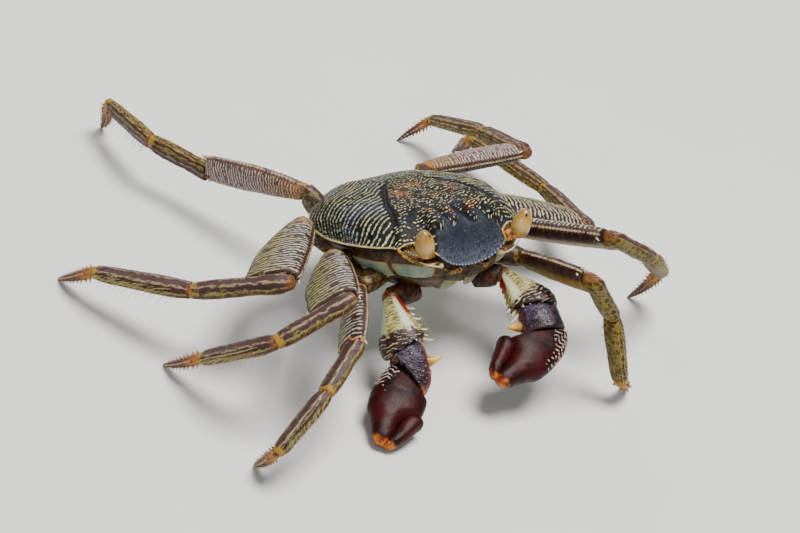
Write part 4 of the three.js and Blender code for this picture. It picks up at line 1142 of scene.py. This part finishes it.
def build_feelers(side):
    """The short feeler by the inner corner of the eye pit, and the folded one under the front."""
    long = curve_through([[26.2, side * 10.6, -8.4], [27.6, side * 11.6, -8.6], [28.2, side * 13.6, -8.0],
                          [27.6, side * 16.2, -7.2], [26.4, side * 18.6, -6.2]], 50)
    t = np.linspace(0, 1, 50)
    wide = np.interp(t, [0, 0.2, 0.28, 1], [0.85, 0.75, 0.3, 0.1])
    grid = swept(long, np.stack([wide, wide], -1), 12, (0, 0, 1))
    swept_piece(f"feeler_{SIDES[side]}", grid, FINISHES["tooth"], BODY)
    short = curve_through([[25.4, side * 3.2, -9.6], [27.0, side * 4.2, -11.2], [26.2, side * 6.4, -11.8],
                           [25.2, side * 8.2, -10.6]], 40)
    wide = 1.0 - 0.55 * np.linspace(0, 1, 40)
    grid = swept(short, np.stack([wide, 0.8 * wide], -1), 14, (0, 0, 1))
    swept_piece(f"small_feeler_{SIDES[side]}", grid, FINISHES["orbit"], BODY)


for side in (-1, 1):
    build_pit(side)
    build_feelers(side)
print("eyes, stalks, pits and feelers made")

# %% [markdown]
# ## The walking legs
# Each leg has five plates: a hip ring, a broad flat thigh, two shins and a toe. The joints come
# from the stance, exactly as the solids do. The plates lie in the plane in which the leg bends.
# The thigh's upper face gets its short wavy bead lines, and the shins get long low ridges.

# %% Plan a leg
PLATES = ["base", "merus", "carpus", "propodus", "dactylus"]
LEG_ROWS = [
    [[-2, 3.2, 3.2, 3], [3, 3.8, 3.8, 3.4], [0.75, 3.8, 3.9, 3.1], [1.1, 2.9, 2.9, 2.4]],
    [[-0.06, 0.5, 0.3, 0.7], [0.04, 0.72, 0.44, 0.95], [0.2, 0.88, 0.72, 1.04], [0.45, 1, 0.98, 1.06],
     [0.72, 1, 1.04, 1], [0.92, 0.9, 1.02, 0.9], [1.04, 0.7, 0.88, 0.7]],
    [[-0.13, 0.72, 0.6, 0.8], [-0.03, 1.02, 0.9, 1.05], [0.3, 0.98, 0.95, 1.02], [0.75, 1.04, 1.04, 1.06],
     [1.03, 0.86, 0.86, 0.9]],
    [[-0.03, 0.86, 0.86, 0.9], [0.2, 1.06, 1.06, 1.02], [0.6, 1, 1, 0.95], [0.92, 0.86, 0.86, 0.86],
     [1.03, 0.7, 0.7, 0.74]],
    [[-0.05, 0.8, 0.8, 0.9], [0.12, 1, 1, 1], [0.4, 0.84, 0.84, 0.84, 0.5], [0.7, 0.58, 0.58, 0.6, 0.45],
     [1.0, 0.2, 0.2, 0.24, 0]],
]


def plan_leg(name):
    pair = int(name[1])
    coxa, hip, turns, rises = STANCE[name]
    lengths = LEG_LENGTHS[pair]
    joints = [placed(np.array(coxa, float), BODY), np.array(hip, float)]
    ways = [unit(joints[1] - joints[0])]
    for i in range(4):
        drop = -math.degrees(math.asin(joints[-1][2] / lengths[i])) if i == 3 else rises[i]
        ways.append(heading(turns[i], drop))
        joints.append(joints[-1] + ways[-1] * lengths[i])
    face = np.cross(ways[1], ways[2])
    merus, shank, toe = LEG_WIDTHS[pair]
    sizes = [[1, 1, 1], merus, [shank[0], *shank], [shank[0], *shank], [toe[0], *toe]]
    frames = [frame_along(joints[i], way, face) for i, way in enumerate(ways)]
    longs = [float(np.linalg.norm(joints[i + 1] - joints[i])) for i in range(5)]
    cuts = [[None, None] for _ in range(5)]
    for i in range(4):
        bend = float(np.dot(ways[i], ways[i + 1]))
        normal, joint = ways[i] + ways[i + 1], joints[i + 1].copy()
        if i == 1 and bend < 0.8:  # a sharply bent knee: the thigh ends square, the shin crosses its end
            normal = ways[1] - bend * ways[2] if bend < 0 else ways[1]
            joint = joint - unit(normal) * shank[0] * 0.85
        normal = unit(normal)
        for k, place_of, way in ((i, joint - normal * GAP / 2, 1), (i + 1, joint + normal * GAP / 2, 0)):
            cuts[k][way] = (seen_from(place_of, frames[k]), normal @ frames[k][:3, :3])
    rows = []
    for i, long in enumerate(longs):
        a, b, c = sizes[i]
        rows.append([[r[0] if i == 0 and k < 2 else r[0] * long, r[1] * a, r[2] * b, r[3] * c,
                      r[4] if len(r) > 4 else 0] for k, r in enumerate(LEG_ROWS[i])])
    return {"joints": joints, "frames": frames, "longs": longs, "rows": rows, "cuts": cuts, "sizes": sizes,
            "upper": -1 if name[0] == "R" else 1, "ways": ways}


# %% Relief of the leg plates
LINES = {"R1": (1.95, 1.9), "R2": (1.95, 1.9), "R4": (1.0, 0.95), "L4": (1.1, 1.0)}


def thigh_relief(grid, run, seed, pitch, length):
    x, z = grid[..., 0], grid[..., 2]
    wave = cloud(grid, 2.6, seed) - 0.5
    ripple = cloud(grid * [1, 1, 1.6], 1.1, seed + 2) - 0.5
    lines = bead_lines(x + 1.3 * wave + 0.8 * ripple, z + 3.0 * wave, pitch, length, seed, 0.08, 0.24, 0.54)
    upper = step(run[..., 2], -0.05, 0.3) * step(np.abs(run[..., 1]), 0.97, 0.9)
    crest = lines * upper * step(run[..., 0], 0.03, 0.1)
    rows_below = 0.35 * step(run[..., 2], 0.05, -0.3) * hump((x + wave) / 1.1 - np.round((x + wave) / 1.1), 0, 0.25)
    edge = step(np.abs(run[..., 1]), 0.93, 1.0)
    notch = 0.5 + 0.5 * np.cos(2 * np.pi * x / 1.3)
    height = 0.2 * crest + 0.05 * rows_below + 0.3 * edge * notch + 0.4 * (cloud(grid, 4.0, seed + 1) - 0.5)
    return crest, height


def shin_relief(grid, run, seed):
    turn = np.arctan2(run[..., 2], run[..., 1]) / np.pi
    ridges = 0.3 * sum(hump(turn, at, 0.05) for at in (-0.34, 0.0, 0.26, 0.54))
    ends = step(run[..., 0], 0.02, 0.14) * step(run[..., 0], 1.0, 0.86)
    return ridges * ends + 0.22 * (cloud(grid, 1.6, seed) - 0.5)


def toe_relief(grid, run, seed):
    return 0.14 * np.cos(3 * np.arctan2(run[..., 1], run[..., 2])) * step(run[..., 0], 1, 0.6) + 0.1 * (
        cloud(grid, 1.2, seed) - 0.5)


def build_leg(name):
    leg = plan_leg(name)
    side = "right" if name[0] == "R" else "left"
    seed = 60 + 7 * int(name[1]) + (3 if side == "left" else 0)
    fineness = [(40, 48), (270, 116), (90, 60), (100, 60), (70, 44)]
    for i, plate in enumerate(PLATES):
        steps, around = fineness[i]
        power, keel = ((2.3, 1.0), (2.15, 1.12), (2.4, 1.0), (2.4, 1.0), (2.1, 1.0))[i]
        grid, run = loft(leg["rows"][i], steps, around, *leg["cuts"][i], power, keel, 0.6 if i else 0.3)
        run[..., 2] *= leg["upper"]
        marks, finish = None, (FINISHES["hip"], FINISHES["thigh"], FINISHES["shin"], FINISHES["shin"],
                               FINISHES["toe"])[i]
        if i == 1:
            if name == "R4":  # this thigh stands on edge, so both its faces are in the light and lined
                run[..., 2] = np.abs(run[..., 2])
            pitch, length = LINES.get(name, (1.55, 1.9))
            crest, relief = thigh_relief(grid, run, seed, pitch, length)
            marks = {"crest": crest, "spot": np.full(run.shape[:2], 1.0 if name[1] == "4" else 0.0)}
        elif i in (2, 3):
            relief = shin_relief(grid, run, seed + i)
            marks = {"spot": np.full(run.shape[:2], 1.0 if name in ("R1", "R2", "R3") else 0.0)}
        elif i == 4:
            relief = toe_relief(grid, run, seed + i)
        else:
            relief = 0.3 * (cloud(grid, 1.8, seed) - 0.5)
        node = f"leg_{side}_{name[1]}_{plate}"
        limb_piece(f"{node}_shell", leg["frames"][i], grid, run, relief, finish,
                   marks, node)
    return leg


LEGS = {name: build_leg(name) for name in STANCE}

# %% [markdown]
# ## The joints' skin
# Between two plates the crab has bare orange skin and two small knobs that the joint turns on.
# A flattened ball at each joint, a little thinner than the plates, fills the gap as the skin
# does, so no joint looks hollow. One piece holds the balls of a leg.

# %% Fill the joints
def ball(centre, where, size, rows=14, around=20):
    t = np.linspace(0.02, 0.98, rows)[:, None] * np.pi
    angle = 2 * np.pi * np.arange(around) / around
    own = np.stack(np.broadcast_arrays(-np.cos(t) * size[0], np.sin(t) * np.cos(angle) * size[1],
                                       np.sin(t) * np.sin(angle) * size[2]), -1)
    return own @ where[:3, :3].T + centre


def gathered(grids, name, finish):
    """Many small closed grids as one piece."""
    points, faces, place = [], [], []
    first = 0
    for grid in grids:
        rows, around = grid.shape[:2]
        p, f = close_ends(grid.reshape(-1, 3), grid_faces(rows, around), rows, around)
        points.append(p)
        faces += [tuple(first + v for v in face) for face in f]
        first += len(p)
    points = np.vstack(points)
    return make_piece(name, points, faces, finish, {"place": points}, ())


for name, leg in LEGS.items():
    side = "right" if name[0] == "R" else "left"
    balls = []
    for i in range(1, 5):
        wide, thin = leg["sizes"][i if i > 1 else 2][-2:]
        if i == 1:
            wide, thin = 3.0, 2.4
        centre = leg["joints"][i] - (leg["ways"][i - 1] * 0.9 if i == 2 else 0)
        balls.append(ball(centre, leg["frames"][i], (wide * 0.72, thin * 0.84, wide * 0.84)))
        if i == 2:
            y = leg["frames"][i][:3, 1]
            for way in (-1, 1):
                knob = leg["joints"][i] - leg["ways"][1] * 1.2 + y * way * thin * 0.86
                balls.append(ball(knob, leg["frames"][i], (1.1, 0.8, 1.1), 10, 14))
    gathered(balls, f"leg_{side}_{name[1]}_joint_skin", FINISHES["joint"])

# %% [markdown]
# ## The claws
# The claws are short, stout and alike. Each has a hip ring, an arm with a row of sharp teeth on
# its inner edge, a wrist with one strong thorn, and a swollen hand with a fixed and a moving
# finger. They are lofts on the claw's own joints, as the solids are.

# %% Build a claw
ELBOW_SLANT = 0.38  # the arm reaches past the elbow on the outer side
WRIST_SLANT = 0.75  # the wrist reaches past the hand's hinge on the inner side


def claw_relief(part, grid, run, seed):
    x, z = grid[..., 0], grid[..., 2]
    along, across, through = run[..., 0], run[..., 1], run[..., 2]
    wave = cloud(grid, 2.2, seed) - 0.5
    face = step(through, -0.15, 0.25)
    if part == "arm":
        crest = bead_lines(x + 2.2 * wave + 0.1 * z, z + 3 * wave, 1.25, 1.0, seed, 0.22, 0.19, 0.54)
        crest = crest * face * step(along + 0.1 * wave, 0.54, 0.64)
        comb = hump((x + wave) / 0.8 - np.round((x + wave) / 0.8), 0, 0.3) * step(along, 0.6, 0.5) * face
        return crest, 0.2 * crest + 0.06 * comb + 0.3 * (cloud(grid, 3, seed + 1) - 0.5)
    if part == "wrist":
        crest = bead_lines(x + 2.5 * wave, z + 2.5 * wave, 1.1, 0.95, seed, 0.55, 0.18, 0.27) * face
        return crest, 0.24 * crest + 0.35 * (cloud(grid, 2.4, seed + 1) - 0.5)
    if part == "palm":
        outward = np.clip(-across, 0, 1)
        zigzag = bead_lines(x + 1.3 * np.abs(((z / 1.5) % 2) - 1) + 1.4 * wave, z, 1.75, 0.8, seed, 0.12, 0.19, 0.6)
        near = step(0.17 + 0.3 * outward + 0.12 * wave - along, 0, 0.06) * step(across, 0.3, 0.05) * face
        margin = step(across, -0.45, -0.7) * step(along, 0.62, 0.45) * face
        grains = bead_lines(x + wave, z + 1.5 * wave, 1.5, 1.25, seed + 5, 0.4, 0.2, 0.3)
        crest = np.maximum(zigzag * near, grains * margin)
        return crest, 0.24 * crest + 0.35 * (cloud(grid, 3, seed + 1) - 0.5)
    return 0 * x, 0.25 * (cloud(grid, 1.8, seed + 1) - 0.5)


def plan_claw(side_name):
    joints, side, face = CLAWS[side_name]
    joints = [np.array(p, float) for p in joints]
    ways = [unit(joints[i + 1] - joints[i]) for i in range(4)]
    long = [float(np.linalg.norm(joints[i + 1] - joints[i])) for i in range(4)]

    def handed(rows):
        rows = [list(r) + [0] * (5 - len(r)) for r in rows]
        return rows if side > 0 else [[x, b, a, c, -s] for x, a, b, c, s in rows]
    rows = {
        "base": [[-1, 3.2, 3.2, 2.8], [0.5 * long[0], 3.5, 3.5, 3.2], [long[0] + 0.4, 2.9, 2.9, 2.6]],
        "arm": handed([[-1.5, 1.4, 1.4, 1.5], [0.8, 2.6, 2.4, 2.5], [0.36 * long[1], 4.6, 4.2, 3.7],
                       [0.76 * long[1], 7, 6.4, 5], [long[1] - 0.8, 7.6, 6.8, 5.4],
                       [long[1] + 1.4, 6.6, 6.2, 5], [long[1] + 3.8, 4.8, 4.8, 4]]),
        "wrist": handed([[-4.2, 3.6, 3.2, 3], [-1.8, 5.4, 4.4, 4.2], [0.6, 6.4, 5.4, 5],
                         [0.5 * long[2], 7, 5.8, 5.6],
                         [long[2] + 2, 6.7, 5.2, 5.4], [long[2] + 5, 4.8, 4, 4.2]]),
        "palm": handed([[-4.6, 3.2, 4.2, 2.8], [-1.5, 5.4, 6.4, 4], [3, 7.4, 7.8, 4.7], [7.5, 8.2, 8.4, 4.9],
                        [11.6, 7.4, 8.2, 4.7], [14, 5.4, 7, 4.3, -0.8], [17, 3.7, 5.2, 3.8, -0.8],
                        [20.5, 3, 3.8, 3.1, -0.5], [long[3] - 0.6, 2.2, 2.6, 2.3, -0.2],
                        [long[3] + 0.9, 1.1, 1.4, 1.3, 0.2]]),
        "finger": handed([[10.8, 1.6, 1.8, 2, 6.6], [12.4, 2.6, 3.2, 3, 6.7], [16, 2.5, 3.1, 2.9, 5.7],
                          [20, 2.1, 2.6, 2.5, 4.5], [long[3] - 0.8, 1.7, 2.0, 2.1, 3.1],
                          [long[3] + 0.9, 1, 1.1, 1.4, 2.2]]),
    }
    frames = [frame_along(joints[i], ways[i], face) for i in range(4)]
    cuts = {part: [None, None] for part in rows}
    for i, (before, after) in enumerate((("base", "arm"), ("arm", "wrist"), ("wrist", "palm"))):
        normal = unit(ways[i] + ways[i + 1])
        normal = unit(normal + (0, ELBOW_SLANT, -WRIST_SLANT)[i] * side * frames[i + 1][:3, 2])
        cuts[before][1] = (seen_from(joints[i + 1] - normal * GAP / 2, frames[i]), normal @ frames[i][:3, :3])
        cuts[after][0] = (seen_from(joints[i + 1] + normal * GAP / 2, frames[i + 1]),
                          normal @ frames[i + 1][:3, :3])
    return {"joints": joints, "ways": ways, "long": long, "frames": [*frames, frames[3]], "rows": rows,
            "cuts": cuts, "side": side}


def build_claw(side_name):
    claw = plan_claw(side_name)
    look = {"base": "claw_hip", "arm": "arm", "wrist": "wrist", "palm": "hand", "finger": "hand"}
    fineness = {"base": (30, 48), "arm": (150, 120), "wrist": (110, 120), "palm": (190, 130), "finger": (90, 64)}
    for i, part in enumerate(claw["rows"]):
        grid, run = loft(claw["rows"][part], *fineness[part], *claw["cuts"][part], 2.25, 1.0, 0.7)
        run[..., 1] *= claw["side"]
        seed = 120 + 5 * i + (2 if side_name == "left" else 0)
        crest, relief = claw_relief(part, grid, run, seed)
        if part == "finger":
            run[..., 0] = 0.45 + 0.55 * run[..., 0]
        node = f"claw_{side_name}_{part}"
        limb_piece(f"{node}_shell", claw["frames"][i], grid, run, relief, FINISHES[look[part]],
                   {"crest": crest}, node)
    skin = [ball(claw["joints"][i] + claw["ways"][i] * 0.2, claw["frames"][i], size)
            for i, size in ((1, (2.6, 2.4, 2.7)), (2, (4.2, 3.8, 4.6)), (3, (4.2, 3.6, 4.4)))]
    gathered(skin, f"claw_{side_name}_joint_skin", FINISHES["joint"])
    return claw


ARMS = {name: build_claw(name) for name in CLAWS}
print("claws:", ", ".join(ARMS))

# %% [markdown]
# ## Spines, teeth and thorns
# Sharp parts are small bent cones with round tips. They stand in rows: along the toes, along the
# lower edge of the second shin, at the far corner of each thigh, and inside the claws' arms.
# Each row is planned by a loop over its limb, and one piece holds all of a limb's spines.

# %% A row of spines
def cone(base, tip, radius, bow=(0, 0, 0), rings=6, around=8):
    t = np.linspace(0, 1, rings)
    base, tip = np.asarray(base, float), np.asarray(tip, float)
    path = base + np.outer(t, tip - base) + np.outer(t * (1 - t), np.asarray(bow, float))
    wide = radius * (1 - 0.86 * t ** 1.25)
    side = (0, 1, 0) if abs(unit(tip - base)[1]) < 0.9 else (1, 0, 0)
    return swept(path, np.stack([wide, wide], -1), around, side)


def spine_piece(name, cones, finish):
    """Cones as one piece. run says how far from root to tip a point is."""
    points, faces, run, place = [], [], [], []
    first = 0
    for grid in cones:
        rows, around = grid.shape[:2]
        p, f = close_ends(grid.reshape(-1, 3), grid_faces(rows, around), rows, around)
        t = np.repeat(np.linspace(0, 1, rows), around)
        run.append(np.concatenate([t, [0, 1]]))
        points.append(p)
        faces += [tuple(first + v for v in face) for face in f]
        first += len(p)
    points, run = np.vstack(points), np.concatenate(run)
    marks = {"place": points, "run": np.stack([run, 0 * run, 0 * run], -1)}
    return make_piece(name, points, faces, finish, marks, ())


def skin_point(rows, x, angle, power=2.3):
    """Point on a limb's skin, on its own axes, and the way out of the skin there."""
    size = blended(np.array([list(r) + [0] * (5 - len(r)) for r in rows], float), np.array([x]))
    y, z = oval(size, np.array([angle]), power, 1.0)
    out = unit([0, math.cos(angle) / size[0, 2], math.sin(angle) / max(size[0, 0], size[0, 1])])
    return np.array([x, y[0], z[0]]), out


rng = np.random.default_rng(7)
for name, leg in LEGS.items():
    side = "right" if name[0] == "R" else "left"
    cones = []
    for i, count, angles, size, reach in ((4, 8, (20, 65, 110, 160, 215, 270, 325), 0.34, 1.15),
                                          (3, 5, (250, 285), 0.24, 1.1)):
        where, long = leg["frames"][i], leg["longs"][i]
        for angle in angles:
            for k in range(count):
                x = long * (0.12 + 0.78 * (k + 0.3 * rng.random()) / count)
                root, out = skin_point(leg["rows"][i], x, math.radians(angle))
                shrink = 1 - 0.45 * k / count
                tip = root + (out + [0.75, 0, 0]) * reach * shrink
                grid = cone(root - out * 0.3, tip, size * shrink)
                grid = placed(grid, where)
                if grid[..., 2].min() > 0.05:
                    cones.append(grid)
    spine_piece(f"leg_{side}_{name[1]}_spines", cones, FINISHES["spine"])
    where, long = leg["frames"][1], leg["longs"][1]
    teeth = []
    for k in range(26):
        x = long * (0.16 + 0.8 * k / 26)
        root, out = skin_point(leg["rows"][1], x, math.radians(90))
        teeth.append(placed(cone(root - out * 0.2, root + out * 0.34 + [0.4, 0, 0], 0.3), where))
    corner = leg["cuts"][1][1][0][0]
    for k in range(4 if int(name[1]) in (2, 3) else 2):
        x = corner - 0.6 - 1.5 * k
        root, out = skin_point(leg["rows"][1], x, math.radians(270))
        teeth.append(placed(cone(root - out * 0.4, root + out * (1.1 - 0.15 * k) + [1.3, 0, 0], 0.55), where))
    for way in (-1, 1):
        root, out = skin_point(leg["rows"][1], corner - 0.8, math.radians(90 + way * 30))
        teeth.append(placed(cone(root - out * 0.4, root + out * 0.5 + [1.4, 0, 0], 0.5), where))
    spine_piece(f"leg_{side}_{name[1]}_teeth", teeth, FINISHES["tooth"])

for name, claw in ARMS.items():
    side, long = claw["side"], claw["long"]
    teeth = []
    for k in range(7):
        x = (0.26 + 0.105 * k) * long[1]
        edge = side * (3.6 + 0.5 * k)
        reach = 1.6 + 0.9 * (k % 2 == 0) + 0.08 * k
        teeth.append(placed(cone([x, 0.6, edge - 0.6 * side], [x + 1.2, 1.1, edge + side * reach], 0.72,
                                 (0.4, 0, 0)), claw["frames"][1]))
    for k in range(5):
        x = long[1] * (0.9 + 0.02 * k)
        teeth.append(placed(cone([x - 0.6, 3.0, side * (4 - 2.2 * k)], [x + 1.0, 4.9 - 0.2 * k, side * (4.6 - 2.3 * k)],
                                 0.5), claw["frames"][1]))
    spine_piece(f"claw_{name}_teeth", teeth, FINISHES["tooth"])
    root = [0.45 * long[2], 0, side * 5]
    thorn = [cone(root, [0.35 * long[2], 0.6, side * 11], 2.2, (1.2, 0, 0), 10, 20),
             cone([0.75 * long[2], 1.5, side * 5.2], [0.85 * long[2], 1.8, side * 7.2], 0.9)]
    spine_piece(f"claw_{name}_thorn", [placed(g, claw["frames"][2]) for g in thorn], FINISHES["thorn"])
    grinders = []
    for k in range(6):
        x = 13.5 + 1.5 * k
        if x > long[3] - 1.5:
            break
        size = 0.85 - 0.07 * k
        low = 2.9 - 0.06 * k
        grinders.append(placed(cone([x, 0, side * (low - 1.5)], [x + 0.2, 0, side * (low + 0.3)], size), claw["frames"][3]))
    spine_piece(f"claw_{name}_grinders", grinders, FINISHES["tooth"])

# %% [markdown]
# ## Bristles
# Long pale bristles hang in a fringe from the lower edge of the shins, and short ones stand on
# the thighs' edges and around the mouth. Each is a thin tapering strand that droops. They could
# be a particle system, but that doesn't export, so each strand is a few rings of three points.
# The fringe's map lays each strand at its root's place, so one patch of color serves it.

# %% Grow bristles
def strand(root, way, droop, long, radius, bends=6):
    t = np.linspace(0, 1, bends)[:, None]
    path = root + way * long * t + droop * long * t ** 2
    side = unit(np.cross(way, [0.3, 0.2, 0.9]))
    up = unit(np.cross(side, way))
    angle = 2 * np.pi * np.arange(3) / 3
    ring = np.cos(angle)[:, None] * side + np.sin(angle)[:, None] * up
    return path[:, None] + ring[None] * (radius * (1.05 - t ** 1.5))[:, None]


def fringe_piece(name, strands, roots, finish):
    points, faces, run, uv = [], [], [], []
    first = 0
    for grid, root in zip(strands, roots):
        rows, around = grid.shape[:2]
        p, f = close_ends(grid.reshape(-1, 3), grid_faces(rows, around), rows, around)
        t = np.concatenate([np.repeat(np.linspace(0, 1, rows), around), [0, 1]])
        turn = np.concatenate([np.tile(np.arange(around) / around, rows), [0.5, 0.5]])
        uv.append(np.array(root) + 0.003 * np.stack([t, turn], -1))
        run.append(t)
        points.append(p)
        faces += [tuple(first + v for v in face) for face in f]
        first += len(p)
    points, run, uv = np.vstack(points), np.concatenate(run), np.vstack(uv)
    marks = {"place": points, "run": np.stack([run, 0 * run, 0 * run], -1)}
    piece = make_piece(name, points, faces, finish, marks, ())
    layer = piece.data.uv_layers.new(name="OFBake")
    corner = np.empty(len(piece.data.loops), np.int32)
    piece.data.loops.foreach_get("vertex_index", corner)
    layer.uv.foreach_set("vector", uv[corner].astype(np.float32).ravel())
    return piece


for name, leg in LEGS.items():
    side = "right" if name[0] == "R" else "left"
    strands, roots = [], []
    for i, count, lengths, angles in ((3, 42, (2.6, 5.4), (70, 90, 108)), (3, 26, (0.8, 2.0), (262, 280)),
                                      (2, 22, (1.0, 2.6), (80, 262)), (1, 40, (0.7, 1.5), (82, 98)),
                                      (4, 14, (1.2, 2.4), (70, 110))):
        where, long = leg["frames"][i], leg["longs"][i]
        down = np.array([0, 0, -1.0])
        for k in range(count):
            t = 0.1 + 0.82 * (k + rng.random()) / count
            angle = math.radians(angles[k % len(angles)] + 8 * rng.random())
            root, out = skin_point(leg["rows"][i], t * long, angle)
            root, out = placed(root - out * 0.15, where), where[:3, :3] @ out
            lean = where[:3, 0] * (0.5 * rng.random() + 0.15)
            reach = lengths[0] + (lengths[1] - lengths[0]) * rng.random() * math.sin(math.pi * min(1, t + 0.15))
            reach = min(reach if side == "right" else 0.45 * reach, max(0.4, (root[2] - 0.3) * 0.95))
            strands.append(strand(root, unit(out + lean), 0.35 * down + 0.3 * where[:3, 0] * rng.random(),
                                  reach, 0.11 if i == 3 else 0.06))
            roots.append((0.02 + 0.2 * (i - 1) + 0.18 * t, 0.05 + 0.85 * (math.degrees(angle) % 360) / 360))
    fringe_piece(f"leg_{side}_{name[1]}_bristles", strands, roots, FINISHES["bristle"])

strands, roots = [], []
for side in (-1, 1):
    for k in range(46):
        t = (k + rng.random()) / 46
        root = np.array([25.2 - 3.0 * t, side * (1.2 + 9.5 * t), -9.4 - 1.4 * math.sin(2.2 * t)])
        way = unit([0.9, side * 0.3 * rng.random(), -0.7 - 0.4 * rng.random()])
        strands.append(placed(strand(root, way, np.array([0, 0, -0.3]), 1.2 + 1.2 * rng.random(), 0.06), BODY))
        roots.append((0.05 + 0.85 * t, 0.3 + 0.2 * side))
for name, claw in ARMS.items():
    for k in range(24):
        x = (0.3 + 0.6 * rng.random()) * claw["long"][1]
        root = np.array([x, 1.0 - 2.5 * rng.random(), claw["side"] * (4.2 + 0.25 * x)])
        way = unit([0.3, 0.2 * rng.random(), claw["side"] * 1.0])
        strands.append(placed(strand(root, way, np.array([0.2, 0, -0.2]), 1.4 + 1.4 * rng.random(), 0.055),
                              claw["frames"][1]))
        roots.append((0.05 + 0.85 * k / 24, 0.75 + 0.1 * claw["side"]))
fringe_piece("mouth_and_arm_bristles", strands, roots, FINISHES["bristle"])
print("bristles grown")

# %% [markdown]
# ## Floor and light
# The crab stands on a plain pale floor under soft studio light. One big lamp above gives the
# shape, a wide one from the camera's side opens the shadows, and a small warm one from behind
# draws the edges. The floor isn't part of the crab.

# %% Set the floor and the lamps
floor_mesh = bpy.data.meshes.new("floor")
floor_mesh.from_pydata([(-3, -3, 0), (3, -3, 0), (3, 3, 0), (-3, 3, 0)], [], [(0, 1, 2, 3)])
floor = bpy.data.objects.new("floor", floor_mesh)
bpy.context.collection.objects.link(floor)
paint = Finish("floor_paint")
speck = paint.noise(paint.add("NewGeometry").outputs["Position"], 0.04, 3.0)
floor_mesh.materials.append(paint.shell(
    paint.mix(speck, (0.70, 0.70, 0.69), (0.74, 0.74, 0.73)), 0.75, speck, 0.02, coat=0.0, specular=0.2))


def lamp(name, at, aim, size, power, tint):
    data = bpy.data.lights.new(name, "AREA")
    data.shape, data.size, data.energy, data.color = "DISK", size, power, tint
    made = bpy.data.objects.new(name, data)
    bpy.context.collection.objects.link(made)
    back = unit(np.array(at) - np.array(aim))
    side = unit(np.cross([0, 0, 1], back))
    up = np.cross(back, side)
    made.matrix_world = Matrix([[*(float(v[i]) for v in (side, up, back)), float(at[i])] for i in range(3)]
                               + [[0, 0, 0, 1]])


lamp("main_lamp", (0.15, 0.1, 0.95), (0, 0, 0.02), 0.5, 17, (1.0, 0.98, 0.95))
lamp("fill_lamp", (0.7, -1.0, 0.5), (0, 0, 0.02), 0.9, 4, (0.93, 0.96, 1.0))
lamp("rim_lamp", (-0.8, 0.3, 0.5), (0, 0, 0.02), 0.4, 3, (1.0, 0.97, 0.92))
world = bpy.data.worlds.new("studio")
world.use_nodes = True
world.node_tree.nodes["Background"].inputs["Color"].default_value = (0.86, 0.89, 0.93, 1)
world.node_tree.nodes["Background"].inputs["Strength"].default_value = 0.33
bpy.context.scene.world = world
